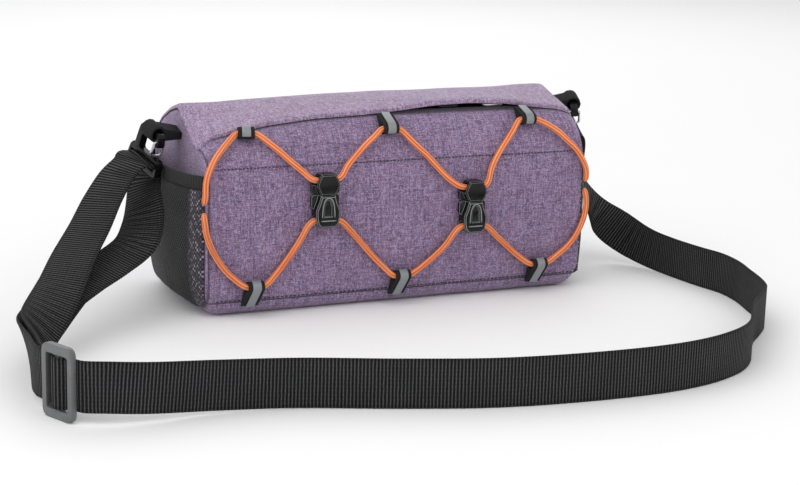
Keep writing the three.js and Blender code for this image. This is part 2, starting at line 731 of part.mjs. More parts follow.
function pocketBinding(side) {
  const gap = clearance / bindingHeight;
  const ups = [1 + gap, 2 + gap];
  const grid = (extra) => steps(12).map((across) => ups.map((up) => pocketPoint(side, across, up, extra)));
  return sheet(grid(bindingThickness), grid(0));
}

// The elastic cord and what holds it

const cordRadius = cordDiameter / 2;
const loopHole = cordRadius + cordFit;
const loopRadius = loopHole + loopThickness;
const loopOff = clearance + loopRadius;

const buckleTip = buckleHeight / 2;
const tunnelRise = buckleTip - buckleTunnel / 2 - buckleRim;

// A place in the tables as X and Z on the front.
function frontPlace({ along: share, up }) {
  const x = share * bagLength;
  if (up <= 1) return { x, z: up * stitchHeight };
  return { x, z: THREE.MathUtils.lerp(stitchHeight, lipHeight(x), up - 1) };
}

function buckleMiddle(place) {
  const { x, z } = frontPlace(place);
  return new THREE.Vector3(x, faceYAt(x, z) - clearance - buckleThickness / 2, z);
}

// The three points that lead the cord through a loop or a buckle, by the holder's name.
function heldPoints(held) {
  const [first, second] = held.split(' ');
  const loops = { top: topLoops, bottom: bottomLoops }[first];
  if (loops) {
    const { x, z } = frontPlace(loops.find((loop) => loop.name === second));
    const { foot, out, wide, up } = faceFrame(x, z);
    foot.addScaledVector(out, loopOff);
    const dip = first === 'top' ? -cordDip : cordDip;
    return [-1, 0, 1].map((end) => foot.clone()
      .addScaledVector(wide, end * loopWidth * 0.58)
      .addScaledVector(up, Math.abs(end) * dip));
  }
  const middle = buckleMiddle(buckles.find((buckle) => buckle.name === first));
  const way = second === 'upper' ? 1 : -1;
  return [-1, 0, 1].map((end) => new THREE.Vector3(
    middle.x + end * buckleWidth / 2,
    middle.y,
    middle.z + way * (tunnelRise + 2 * cordDip * Math.abs(end)),
  ));
}

function cordPoints(rows, endZ) {
  const points = rows.flatMap((row) => {
    if (row.held) return heldPoints(row.held);
    const { x, z } = frontPlace(row);
    const { foot, out } = faceFrame(x, z);
    return [foot.addScaledVector(out, clearance + cordRadius + row.off)];
  });
  const endX = halfBag + clearance + cordRadius;
  const end = (side) => new THREE.Vector3(side * endX, frontY - 0.2, endZ);
  const nearEnd = points[points.length - 1];
  nearEnd.x = endX;
  return [end(-1), ...points.slice(0, -1), nearEnd, end(1).add(new THREE.Vector3(0, 1.2, 0))];
}

function bungee(rows, endZ) {
  return tube(cordPoints(rows, endZ), cordRadius, 8, cordSteps);
}

// Directions on the front at a place: along the bag, up along the cloth, and out of it.
function faceFrame(x, z) {
  const at = (px, pz) => new THREE.Vector3(px, faceYAt(px, pz), pz);
  const wide = at(x + 4, z).sub(at(x - 4, z)).normalize();
  const rise = at(x, z + 2).sub(at(x, z - 2));
  const out = new THREE.Vector3().crossVectors(wide, rise).normalize();
  const up = new THREE.Vector3().crossVectors(out, wide);
  return { wide, up, out, foot: at(x, z) };
}

const seamedHeight = 2 * loopThickness + clearance;

// A loop's outer layer leaves the cloth at its seam and touches the round of the loop at this angle.
function loopSlope(reach) {
  const rise = loopOff - seamedHeight;
  return Math.atan2(-rise, reach) + Math.acos(loopRadius / Math.hypot(reach, rise));
}

// Folded webbing round the cord, from its seam on the cloth: t runs along the cloth from the cord, n out of it.
function loopOutline(reach) {
  const shape = new THREE.Shape();
  shape.moveTo(reach, clearance);
  shape.lineTo(0, clearance);
  shape.absarc(0, loopOff, loopRadius, Math.PI * 1.5, loopSlope(reach), true);
  shape.lineTo(reach, seamedHeight);
  return shape;
}

function loopPlacement(geometry, place, direction, lean) {
  const { x, z } = frontPlace(place);
  const { wide, up, out, foot } = faceFrame(x, z);
  const away = up.multiplyScalar(direction);
  const positions = geometry.attributes.position;
  for (let i = 0; i < positions.count; i += 1) {
    const aside = Math.max(positions.getX(i), 0) * Math.tan(lean);
    positions.setZ(i, positions.getZ(i) - aside);
  }
  return placed(geometry, foot, away, out, wide);
}

function cordLoop(place, direction, lean) {
  const shape = loopOutline(place.reach);
  const hole = new THREE.Path();
  hole.absarc(0, loopOff, loopHole, 0, Math.PI * 2);
  shape.holes.push(hole);
  return loopPlacement(extruded(shape, loopWidth, 8), place, direction, lean);
}

// The grey strip lies on the loop's outer face, round the front of the cord.
function loopStrip(place, direction, lean) {
  const inner = loopRadius + clearance;
  const outer = inner + stripThickness;
  const slope = loopSlope(place.reach);
  const far = Math.PI * 0.95;
  const shape = new THREE.Shape();
  const point = (radius, angle, t, n) => [t + Math.cos(angle) * radius, n + Math.sin(angle) * radius];
  const seamEnd = (above) => point(above, slope, place.reach, seamedHeight);
  shape.moveTo(...seamEnd(clearance));
  shape.lineTo(...point(inner, slope, 0, loopOff));
  shape.absarc(0, loopOff, inner, slope, far, false);
  shape.lineTo(...point(outer, far, 0, loopOff));
  shape.absarc(0, loopOff, outer, far, slope, true);
  shape.lineTo(...seamEnd(clearance + stripThickness));
  return loopPlacement(extruded(shape, stripWidth, 6), place, direction, lean);
}

// A cord buckle in two fastened pieces, drawn in X and Z with its back near the cloth.
const buckleWaist = buckleHeight * 0.1;

function buckleOutline(rows) {
  const shape = new THREE.Shape();
  const left = rows.map(([half, z]) => [-half, z]).reverse();
  const points = [...rows, ...left];
  shape.moveTo(...points[0]);
  for (const point of points.slice(1)) shape.lineTo(...point);
  return shape;
}

function bucklePiece(place, rows, tunnelZ, wingZ, relief) {
  const front = extruded(buckleOutline(rows), buckleThickness, 3, 0.8);
  const wings = extruded(roundedRectangle(buckleWidth, wingHeight, 1.5, 0, wingZ), wingThickness, 1);
  wings.translate(0, 0, (wingThickness - buckleThickness) / 2 + buckleRim);
  const body = join(front, wings);
  const tunnel = extruded(circle(buckleTunnel / 2), buckleWidth * 2, 8);
  tunnel.rotateY(Math.PI / 2);
  tunnel.translate(0, tunnelZ, 0);
  const tools = relief ? [tunnel, relief] : [tunnel];
  const piece = cut(body, ...tools);
  return placed(
    piece, buckleMiddle(place),
    new THREE.Vector3(1, 0, 0), new THREE.Vector3(0, 0, 1), new THREE.Vector3(0, -1, 0),
  );
}

function buckleUpper(place) {
  const half = buckleWidth / 2;
  const rows = [
    [half * 0.52, buckleWaist + clearance],
    [half * 0.82, buckleTip - 0.23 * buckleHeight],
    [half * 0.78, buckleTip - 0.14 * buckleHeight],
    [half * 0.5, buckleTip],
  ];
  return bucklePiece(place, rows, tunnelRise, buckleWaist + clearance + wingHeight / 2, null);
}

function buckleLower(place) {
  const half = buckleWidth / 2;
  const rows = [
    [half * 0.5, -buckleTip],
    [half * 0.76, -buckleTip + 0.065 * buckleHeight],
    [half * 0.86, -buckleTip + 0.2 * buckleHeight],
    [half * 0.86, -buckleTip + 0.33 * buckleHeight],
    [half * 0.64, -0.02 * buckleHeight],
    [half * 0.52, buckleWaist],
  ];
  const reliefRows = [
    [half * 0.3, -0.29 * buckleHeight],
    [half * 0.26, -0.1 * buckleHeight],
    [half * 0.14, 0.016 * buckleHeight],
  ];
  const relief = extruded(buckleOutline(reliefRows), 2 * buckleRelief, 3);
  relief.translate(0, 0, buckleThickness / 2);
  return bucklePiece(place, rows, -tunnelRise, buckleWaist - wingHeight / 2, relief);
}

// Snap hooks. In a hook's own frame x runs along its slot, y up to its eye, z out of its face.
function hookFrame(name) {
  const place = hookPlaces[name];
  const u = new THREE.Vector3(...place.along).normalize();
  const v = new THREE.Vector3(...place.up);
  v.addScaledVector(u, -v.dot(u)).normalize();
  const n = new THREE.Vector3().crossVectors(u, v);
  if (name === 'right') n.negate();
  const origin = new THREE.Vector3(
    place.side * (halfBag + hookStandOff), place.across * bagDepth, place.rise * bagHeight,
  );
  const at = (x, y, z) => origin.clone().addScaledVector(u, x).addScaledVector(v, y).addScaledVector(n, z);
  return { u, v, n, origin, at };
}

const hookSlotFoot = -12;
const hookFoot = hookSlotFoot - hookBar;
const hookSlotTop = hookSlotFoot + hookSlotHeight;
const eyeFoot = hookSlotTop + hookBar;
const eyeTop = eyeFoot + eyeHeight;
const hookTop = eyeTop + hookArm;
const armOuter = eyeWidth / 2 + hookArm;
const noseFoot = eyeFoot + gateOpening;
const pivotX = eyeWidth / 2 + hookArm / 2;
const pivotY = noseFoot + 2.6;
const gateSide = hookThickness / 2 + clearance + gateWire / 2;

function snapHook(name) {
  const half = hookWidth / 2;
  const inner = eyeWidth / 2;
  const shape = new THREE.Shape();
  const eyeCorner = hookCorner * 1.5;
  const shoulder = hookCorner * 2.5;
  const waist = half - hookCorner / 4;
  shape.moveTo(-half + hookCorner, hookFoot);
  shape.lineTo(half - hookCorner, hookFoot);
  shape.quadraticCurveTo(half, hookFoot, half, hookFoot + hookCorner);
  shape.lineTo(waist, hookSlotTop);
  shape.quadraticCurveTo(half - hookCorner / 2, eyeFoot, armOuter, eyeFoot);
  shape.lineTo(-inner + hookCorner, eyeFoot);
  shape.quadraticCurveTo(-inner, eyeFoot, -inner, eyeFoot + hookCorner);
  shape.lineTo(-inner, eyeTop - eyeCorner);
  shape.quadraticCurveTo(-inner, eyeTop, -inner + eyeCorner, eyeTop);
  shape.lineTo(inner - eyeCorner, eyeTop);
  shape.quadraticCurveTo(inner, eyeTop, inner, eyeTop - eyeCorner);
  shape.lineTo(inner, noseFoot);
  shape.quadraticCurveTo(pivotX, noseFoot - hookCorner / 2, armOuter, noseFoot);
  shape.lineTo(armOuter, hookTop - shoulder);
  shape.quadraticCurveTo(armOuter, hookTop, armOuter - shoulder, hookTop);
  shape.lineTo(-armOuter + shoulder, hookTop);
  shape.quadraticCurveTo(-armOuter, hookTop, -armOuter, hookTop - shoulder);
  shape.lineTo(-armOuter - hookCorner / 4, eyeFoot + hookCorner);
  shape.quadraticCurveTo(-waist, eyeFoot, -waist, hookSlotTop);
  shape.lineTo(-half, hookFoot + hookCorner);
  shape.quadraticCurveTo(-half, hookFoot, -half + hookCorner, hookFoot);
  const slotMiddle = (hookSlotFoot + hookSlotTop) / 2;
  shape.holes.push(roundedRectangle(strapWidth + 1.4, hookSlotHeight, 1, 0, slotMiddle));
  const hole = new THREE.Path();
  hole.absarc(pivotX, pivotY, gateWire / 2 + clearance, 0, Math.PI * 2);
  shape.holes.push(hole);
  const { origin, u, v, n } = hookFrame(name);
  return placed(extruded(shape, hookThickness, 3), origin, u, v, n);
}

// The gate is one bent wire: its ends sit in the hook's nose, its bow rests on the hook's middle bar.
function wireGate(name) {
  const { at } = hookFrame(name);
  const bowY = eyeFoot + clearance + gateWire / 2;
  const side = [
    [pivotX, pivotY, 0.4],
    [pivotX, pivotY, gateSide - 0.9],
    [pivotX, pivotY - 0.5, gateSide - 0.1],
    [pivotX, pivotY - 1.6, gateSide],
    [pivotX - 0.4, (pivotY + bowY) / 2, gateSide],
    [pivotX - 0.8, bowY + 1.8, gateSide],
    [pivotX - 0.8, bowY + 0.5, gateSide - 0.4],
    [pivotX - 0.8, bowY, gateSide - 1.4],
  ];
  const front = side.map(([x, y, z]) => at(x, y, z));
  const back = side.map(([x, y, z]) => at(x, y, -z)).reverse();
  return tube([...front, ...back], gateWire / 2, 6, 26);
}

// The sewn tab: webbing folded round the hook's top bar, its root in the bag's end seam.
function endTab(name) {
  const { at, u, v, n } = hookFrame(name);
  const hole = hookThickness / 2 + 1.5;
  const outer = hole + tabThickness;
  const shape = new THREE.Shape();
  shape.moveTo(-tabLength, -tabThickness);
  shape.lineTo(-outer, -outer * 0.7);
  shape.absarc(0, 0, outer, Math.PI * 1.25, Math.PI * 2.75, false);
  shape.lineTo(-tabLength, tabThickness);
  shape.holes.push(new THREE.Path(circle(hole).getPoints(6)));
  const band = extruded(shape, tabWidth, 5);
  const middle = at(0, (eyeTop + hookTop) / 2, 0);
  const whole = placed(band, middle, n, v, u);
  return cut(whole, bodyLoft(-clearance, halfBag + clearance, 0), flapKeepOut());
}

// The flap with a little room all round it, for the tabs that end against it.
function flapKeepOut() {
  const reach = halfBag + clearance;
  const grid = (rise) => [-reach, reach].map((x) => steps(8).map((share) => {
    const y = THREE.MathUtils.lerp(lipY - flapOverhang, backSeamY + clearance, share);
    return new THREE.Vector3(x, y, topAt(x, y) + rise);
  }));
  return sheet(grid(clearance), grid(-flapThickness - wall));
}

// Shoulder strap

function tableRows(table, hook) {
  const floorZ = strapWidth / 2 + floorGap;
  return table.map(({ along: share, out, rise, wx, wy, wz }) => ({
    point: new THREE.Vector3(share * bagLength, out * bagLength, floorZ + rise * hookFrame(hook).origin.z),
    w: new THREE.Vector3(wx, wy, wz),
  }));
}

// How far the strap's middle stands off a hook's middle beside its bar.
const strapFar = hookThickness / 2 + strapThickness / 2 + 2 * clearance + strapSlack;

// The strap's way over the bar of a hook, from the side next to the bag to the other.
function hookRows(name) {
  const { at, u } = hookFrame(name);
  const bar = hookSlotFoot - hookBar / 2;
  return [
    [-strapFar, bar - 2.3 * hookBar],
    [-strapFar, bar],
    [-0.73 * strapFar, hookSlotFoot + 0.6 * strapThickness],
    [0, hookSlotFoot + hookSlotHeight / 2],
    [0.84 * strapFar, hookSlotFoot + strapThickness],
  ].map(([z, y]) => ({ point: at(0, y, z), w: u.clone().negate() }));
}

function triglideFrame() {
  const t = new THREE.Vector3(...triglidePlace.towardHook).normalize();
  const w = new THREE.Vector3(0, 0, 1);
  const n = new THREE.Vector3().crossVectors(w, t);
  const origin = new THREE.Vector3(
    triglidePlace.along * bagLength, triglidePlace.out * bagLength, triglideHeight / 2,
  );
  return { t, w, n, origin };
}

function triglideRows(rows) {
  const { t, w, n, origin } = triglideFrame();
  return rows.map(([alongSlider, out]) => ({
    point: origin.clone().addScaledVector(t, alongSlider).addScaledVector(n, out),
    w: w.clone(),
  }));
}

function shoulderStrap() {
  const layer = strapThickness;
  const behind = -(triglideThickness / 2 + clearance + layer / 2 + strapSlack);
  const over = (triglideThickness - barThinning) / 2 + clearance + layer / 2 + strapSlack;
  const side = triglideWidth / 2;
  const rightHook = hookFrame('right');
  const atRightHook = (up, out) => ({ point: rightHook.at(0, up, out), w: rightHook.u.clone().negate() });
  const rows = [
    atRightHook(hookFoot - 5.3 * hookBar, -strapFar),
    atRightHook(hookFoot - 3 * hookBar, -strapFar),
    ...hookRows('right'),
    atRightHook(hookFoot, 1.46 * strapFar),
    ...tableRows(strapRun, 'right'),
    ...triglideRows([
      [-side - 1.7 * layer, behind - 0.5 * layer],
      [-side + 0.7 * layer, behind],
      [-side + 1.3 * triglideBar, behind + 0.3 * layer],
      [-0.6 * triglideBar, over],
      [0.6 * triglideBar, over],
      [side - 1.3 * triglideBar, behind + 0.3 * layer],
      [side - 0.7 * layer, behind],
      [side + 3.3 * layer, behind],
    ]),
    ...tableRows(strapHanging, 'left'),
    ...hookRows('left'),
    ...tableRows(strapOuter, 'left'),
    ...triglideRows([
      [side + 3.3 * layer, behind - 1.5 * layer],
      [side - 0.7 * layer, behind - 1.5 * layer],
      [1.4 * triglideBar, -over - 0.4 * layer],
      [-0.4 * triglideBar, -over],
    ]),
  ];
  const middle = new THREE.CatmullRomCurve3(rows.map((row) => row.point), false, 'centripetal');
  const widths = new THREE.CatmullRomCurve3(rows.map((row) => row.w), false, 'catmullrom', 0);
  const count = (rows.length - 1) * strapSteps;
  const rings = steps(count).map((share) => {
    const point = middle.getPoint(share);
    const tangent = middle.getPoint(Math.min(share + 1e-4, 1)).sub(middle.getPoint(Math.max(share - 1e-4, 0)));
    tangent.normalize();
    const w = widths.getPoint(share);
    w.addScaledVector(tangent, -w.dot(tangent)).normalize();
    const n = new THREE.Vector3().crossVectors(tangent, w);
    return [[-1, -1], [1, -1], [1, 1], [-1, 1]].map(([a, b]) => point.clone()
      .addScaledVector(w, a * strapWidth / 2)
      .addScaledVector(n, b * strapThickness / 2));
  });
  return loft(rings);
}

function strapSlider() {
  const slotHeight = strapWidth + 2;
  const slotWidth = (triglideWidth - 3 * triglideBar) / 2;
  const shape = roundedRectangle(triglideWidth, triglideHeight, 4);
  for (const side of [-1, 1]) {
    shape.holes.push(roundedRectangle(slotWidth, slotHeight, 1.2, side * (slotWidth + triglideBar) / 2, 0));
  }
  const { t, w, n, origin } = triglideFrame();
  const frame = extruded(shape, triglideThickness, 2);
  const thinning = [-1, 1].map((side) => {
    const cutter = extruded(roundedRectangle(1.3 * triglideBar, 0.98 * slotHeight, 0.3), barThinning, 1);
    return cutter.translate(0, 0, side * triglideThickness / 2);
  });
  return placed(cut(frame, ...thinning), origin, t, w, n);
}

// A handlebar strap: a loop of webbing and the patch that sews it to the back.
function handlebarStrap(x) {
  const inner = barDiameter / 2 + clearance;
  const outer = inner + barStrapThickness;
  const ring = circle(outer);
  ring.holes.push(new THREE.Path(circle(inner).getPoints(8)));
  const loop = extruded(ring, barStrapWidth, 8);
  const patch = extruded(roundedRectangle(barStrapThickness, barPatchHeight, 0.5), barStrapWidth, 1);
  patch.translate(-outer + barStrapThickness / 2, 0, 0);
  const joined = join(loop, patch);
  const backY = bagDepth / 2 + backBulge + clearance;
  return placed(
    joined, new THREE.Vector3(x, backY + outer, barHeight),
    new THREE.Vector3(0, 1, 0), new THREE.Vector3(0, 0, 1), new THREE.Vector3(1, 0, 0),
  );
}

// The whole bag

const group = new THREE.Group();

function add(name, geometry, finish) {
  const mesh = new THREE.Mesh(geometry, finishes[finish]);
  mesh.name = name;
  group.add(mesh);
}

add('bag_body', bagBody(), 'cloth');
add('top_flap', topFlap(), 'flapCloth');
add('zip_tape', zipTape(), 'webbing');
add('zip_slider_left', zipSlider(leftSliderAlong), 'plastic');
add('zip_slider_right', zipSlider(rightSliderAlong), 'wire');
for (const [name, side] of [['left', -1], ['right', 1]]) {
  add(`mesh_pocket_${name}`, meshPocket(side), 'mesh');
  add(`pocket_binding_${name}`, pocketBinding(side), 'webbing');
  add(`end_tab_${name}`, endTab(name), 'webbing');
  add(`snap_hook_${name}`, snapHook(name), 'plastic');
  add(`wire_gate_${name}`, wireGate(name), 'wire');
  add(`handlebar_strap_${name}`, handlebarStrap(side * barStrapSpacing / 2), 'webbing');
}
for (const place of topLoops) {
  add(`cord_loop_top_${place.name}`, cordLoop(place, 1, 0), 'webbing');
  add(`loop_strip_top_${place.name}`, loopStrip(place, 1, 0), 'reflective');
}
for (const place of bottomLoops) {
  add(`cord_loop_bottom_${place.name}`, cordLoop(place, -1, bottomLoopLean), 'webbing');
  add(`loop_strip_bottom_${place.name}`, loopStrip(place, -1, bottomLoopLean), 'reflective');
}
for (const place of buckles) {
  add(`buckle_upper_${place.name}`, buckleUpper(place), 'plastic');
  add(`buckle_lower_${place.name}`, buckleLower(place), 'plastic');
}
add('bungee_upper', bungee(upperCord, stitchHeight * 0.75 + cordEndLift / 2), 'cord');
add('bungee_lower', bungee(lowerCord, stitchHeight * 0.75 - cordEndLift / 2), 'cord');
add('shoulder_strap', shoulderStrap(), 'webbing');
add('strap_slider', strapSlider(), 'satinPlastic');

export default group;
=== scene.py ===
import math

import bpy
import numpy as np
from mathutils import Matrix, Vector, noise


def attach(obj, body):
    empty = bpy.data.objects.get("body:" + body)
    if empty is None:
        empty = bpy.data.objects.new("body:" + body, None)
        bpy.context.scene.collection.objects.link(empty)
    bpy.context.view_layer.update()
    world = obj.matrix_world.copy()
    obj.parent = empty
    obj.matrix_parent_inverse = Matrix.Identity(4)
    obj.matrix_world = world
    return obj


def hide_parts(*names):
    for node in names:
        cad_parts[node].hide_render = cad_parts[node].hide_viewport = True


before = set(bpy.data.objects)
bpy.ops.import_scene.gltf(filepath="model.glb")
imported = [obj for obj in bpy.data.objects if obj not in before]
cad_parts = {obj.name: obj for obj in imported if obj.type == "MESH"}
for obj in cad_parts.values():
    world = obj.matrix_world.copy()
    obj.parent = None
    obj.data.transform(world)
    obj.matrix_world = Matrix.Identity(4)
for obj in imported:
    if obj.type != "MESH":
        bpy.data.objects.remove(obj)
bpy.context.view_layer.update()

# Sizes in millimetres, mostly as in the part's source
MM = 0.001
BAG_LENGTH = 240
BAG_DEPTH = 105
BAG_HEIGHT = 118
WALL = 3
BOTTOM_RADIUS = 13
FOOT_ROUNDING = 10
FRONT_BULGE = 1.5
BACK_BULGE = 2
CLEARANCE = 0.3
STITCH_HEIGHT = BAG_HEIGHT * 0.729
LIP_SET_BACK = 20
FLAP_THICKNESS = 2.6
FLAP_OVERHANG = 2.5
FLAP_GAP_HEIGHT = 4
FLAP_GAP_DEPTH = 40
BACK_SEAM_Y = 42
BOTTOM_SEAM_Z = 9
CORD_DIAMETER = 3.5
CORD_FIT = 0.65
CORD_END_LIFT = 4.5
LOOP_THICKNESS = 1.1
LOOP_WIDTH = 9.5
BUCKLE_WIDTH = 17
BUCKLE_HEIGHT = 31
BUCKLE_THICKNESS = 9
BUCKLE_TUNNEL = 5.6
BUCKLE_RIM = 1.2
CORD_DIP = 0.3
HOOK_THICKNESS = 4.5
HOOK_BAR = 3
HOOK_SLOT_HEIGHT = 4
HOOK_SLOT_FOOT = -12
HOOK_STAND_OFF = 18.5
STRAP_WIDTH = 25
STRAP_THICKNESS = 1.5
SLIDER_HEIGHT = 36
SLIDER_WIDTH = 22
SLIDER_THICKNESS = 3
SLIDER_BAR = 3
BAR_THINNING = 1
FLOOR_GAP = 0.2
POCKET_BULGE = 12.5
POCKET_THICKNESS = 1.4
POCKET_FOOT = 3
POCKET_SEAM_MARGIN = 3.5
POCKET_BACK_MARGIN = 8
POCKET_CORNER_LIFT = 7
STRAP_SLACK = 0.1

# Sizes of seams, turned edges, the zip's opening, dents and grooves
PANEL_SEAM = 2
END_CORNER = 9
SEAM_REACH = 6
FLAP_EDGE = 0.7
FLAP_END_DROP = 1.6
SELVAGE_WIDTH = 0.5
SELVAGE_HEIGHT = 0.35
MOUTH_END = 13
MOUTH_FRONT = 3
MOUTH_BACK = 8
CORD_DENT = 0.7
CORD_DENT_REACH = 5
GROOVE_REACH = 1.4
MOST_SUNK = 1.6
MOST_SWOLLEN = 0.25
FLOOR_HOLD = 8
BACK_HOLD = 14
STITCH_REACH = 4
CORD_STEP = 1.1
RIDGE_RADIUS = 0.4

HALF_BAG = BAG_LENGTH / 2
FRONT_Y = -BAG_DEPTH / 2
LIP_Y = FRONT_Y + LIP_SET_BACK
CORD_RADIUS = CORD_DIAMETER / 2
POCKET_TOP = BAG_HEIGHT * 0.627
LOOP_OFF = CLEARANCE + CORD_RADIUS + CORD_FIT + LOOP_THICKNESS
TUNNEL_RISE = BUCKLE_HEIGHT / 2 - BUCKLE_TUNNEL / 2 - BUCKLE_RIM
STRAP_FAR = HOOK_THICKNESS / 2 + STRAP_THICKNESS / 2 + 2 * CLEARANCE + STRAP_SLACK
HOOK_FOOT = HOOK_SLOT_FOOT - HOOK_BAR
UPRIGHT = (0, 0, 1)

# How far the kinks of the tables below are rounded off, as a share of the table's run
LENGTH_EASE = 0.03
OUTLINE_EASE = 0.035
SLOPE_EASE = 0.06
POCKET_EASE = 0.05

# How much narrower the flap is at its ends, and how slim a cord's last rings are, as shares
FLAP_END_NARROWING = 0.03
CORD_END_SIZES = (0.4, 0.8, 0.95, 1.0)

# The strap's left turn, in shares of the length: from here to the left, and from front to back
TURN_RIGHT = -0.84
TURN_FRONT = -0.70
TURN_BACK = -0.30

# The air that fills the shell: its pressure, and the steps that it takes
AIR_PRESSURE = 4
AIR_STEPS = 20

# In the materials: how a yarn's flecks are drawn out, and the spacing of threads, ribs and knots
YARN_STRETCH = 0.18
STRAP_RIB_PITCH = 1.75
STRAP_THREAD_PITCH = 2.1
TAPE_PITCH = 1.1
KNIT_PITCH = 2.0
ELASTIC_RIB_PITCH = 1.0
ELASTIC_ROW_PITCH = 1.3
ELASTIC_MIDDLE = 78.3
BRAID_STRANDS = 6.0
BRAID_TURN = 60
BRAID_PITCH = 1.3
BEAD_PITCH = 0.9
THREAD_TWIST = 0.35

# The camera: turns in degrees, then lens, sensor and place in millimetres
CAMERA_YAW = 24.70
CAMERA_PITCH = 13.00
CAMERA_ROLL = 1.57
CAMERA_LENS = 79.18
CAMERA_SENSOR = 36
CAMERA_PLACE = (-421.5, -965.6, 269.0)

# The lights: name, place, aim and size in metres, watts
LIGHTS = [
    ("key light", (-1.3, -0.5, 1.4), (0, 0, 0.05), 2.4, 15),
    ("front fill", (0.6, -1.8, 0.9), (0, -0.1, 0.05), 1.8, 5),
    ("back light", (0.5, 1.4, 1.3), (0, 0, 0.05), 1.8, 7),
]
BACKDROP_LEVEL = 0.70

# The rows of stitches on the front: name, height, distance off the cloth, pitch, length of a stitch
STITCH_ROWS = [
    ("stitch_line_front", STITCH_HEIGHT, -0.15, 2.2, 1.1),
    ("stitch_line_foot", BOTTOM_SEAM_Z + 1.2, -0.2, 2.6, 1.7),
]
STITCH_WIDTH = 0.7

# A stitch: share of its length, share of its width
STITCH_SHAPE = [(0, 0.45), (0.2, 1), (0.8, 1), (1, 0.45)]

# The top outline from the side: share of the depth, height at the middle, height at the gabled left end
TOP_OUTLINE = np.array([
    (-0.34, 0.962, 0.798),
    (-0.31, 0.970, 0.810),
    (-0.15, 0.990, 0.877),
    (0.02, 1.000, 0.983),
    (0.18, 0.985, 0.940),
    (0.33, 0.930, 0.880),
    (0.41, 0.875, 0.830),
    (0.47, 0.800, 0.760),
    (0.50, 0.700, 0.680),
])

# The front above the stitch line: share of the way back to the lip, share of the rise to it
FRONT_SLOPE = np.array([(0, 0), (0.12, 0.30), (0.30, 0.58), (0.60, 0.84), (1, 1)])

# Along the bag: share of the length, share of the gabled outline, lift, how far the flap's edge gapes
ALONG_BAG = np.array([
    (-0.500, 1.00, 0.000, 0),
    (-0.480, 0.55, -0.008, 0),
    (-0.400, 0.30, -0.016, 0),
    (-0.320, 0.13, -0.014, 0),
    (-0.210, 0.02, -0.010, 0),
    (-0.075, 0.00, -0.004, 0),
    (0.020, 0.00, 0.000, 0.30),
    (0.100, 0.00, 0.000, 0.80),
    (0.200, 0.00, 0.000, 1.00),
    (0.300, 0.00, 0.000, 0.75),
    (0.390, 0.06, 0.004, 0.15),
    (0.440, 0.16, 0.014, 0),
    (0.480, 0.30, 0.024, 0),
    (0.500, 0.45, 0.018, 0),
])

# How a mesh pocket swells: share of its height, share of the bulge
POCKET_SWELL = np.array([
    (0, 0), (0.06, 0.42), (0.12, 0.66), (0.30, 0.92), (0.55, 1.00), (0.80, 0.96), (1, 0.86),
])

# Loops and buckles: share of the length, height (1 is the stitch line, 2 the lip)
TOP_LOOPS = {"left": (-0.39, 1.82), "middle": (-0.033, 1.632), "right": (0.345, 1.69)}
BOTTOM_LOOPS = {"left": (-0.386, 0.214), "middle": (-0.008, 0.212), "right": (0.372, 0.212)}
BUCKLES = {"left": (-0.213, 0.773), "right": (0.177, 0.666)}

# Half of each raised line on a buckle's face, from its end to the middle: across and up from the middle
BUCKLE_ARCH = [(3.8, -9.4), (3.6, -5.5), (3.0, -1.5), (1.4, 1.5)]
BUCKLE_BAR = [(4.6, -11.3), (2.0, -11.3)]

# The cord's way: a holder's name, or share of the length, height, distance off the cloth
UPPER_CORD = [
    (-0.506, 0.82, -0.2),
    (-0.505, 0.93, 0.1),
    (-0.494, 1.05, 0.5),
    (-0.478, 1.3, 0.8),
    (-0.457, 1.57, 0.8),
    (-0.431, 1.76, 0.8),
    "top left",
    (-0.35, 1.64, 0.8),
    (-0.32, 1.33, 0.8),
    (-0.292, 1.05, 0.8),
    (-0.266, 0.96, 0.9),
    "left upper",
    (-0.156, 0.985, 1.2),
    (-0.13, 1.15, 0.8),
    (-0.1, 1.37, 0.8),
    (-0.07, 1.545, 0.8),
    "top middle",
    (0.012, 1.46, 0.8),
    (0.033, 1.26, 0.8),
    (0.054, 1.08, 0.8),
    (0.082, 0.947, 0.7),
    (0.112, 0.864, 1),
    "right upper",
    (0.23, 0.92, 1.2),
    (0.25, 1.03, 0.9),
    (0.274, 1.27, 0.8),
    (0.3, 1.5, 0.8),
    "top right",
    (0.396, 1.6, 0.8),
    (0.425, 1.45, 0.8),
    (0.45, 1.23, 0.7),
    (0.47, 1.05, 0.6),
    (0.488, 0.953, 0.3),
    (0.506, 0.86, -0.6),
    (0.511, 0.779, -2),
]
LOWER_CORD = [
    (-0.507, 0.669, -0.2),
    (-0.504, 0.59, 0.1),
    (-0.495, 0.51, 0.3),
    (-0.479, 0.42, 0.3),
    (-0.458, 0.335, 0.4),
    (-0.432, 0.265, 0.4),
    "bottom left",
    (-0.338, 0.275, 0.4),
    (-0.307, 0.38, 0.5),
    (-0.275, 0.505, 0.7),
    "left lower",
    (-0.148, 0.555, 0.9),
    (-0.115, 0.455, 0.5),
    (-0.083, 0.355, 0.4),
    (-0.052, 0.27, 0.4),
    "bottom middle",
    (0.043, 0.252, 0.4),
    (0.078, 0.322, 0.4),
    (0.11, 0.402, 0.6),
    "right lower",
    (0.244, 0.45, 0.9),
    (0.274, 0.378, 0.5),
    (0.308, 0.295, 0.4),
    "bottom right",
    (0.424, 0.256, 0.4),
    (0.452, 0.308, 0.3),
    (0.479, 0.384, 0.2),
    (0.504, 0.512, -0.4),
    (0.512, 0.628, -1.2),
    (0.511, 0.703, -2),
]

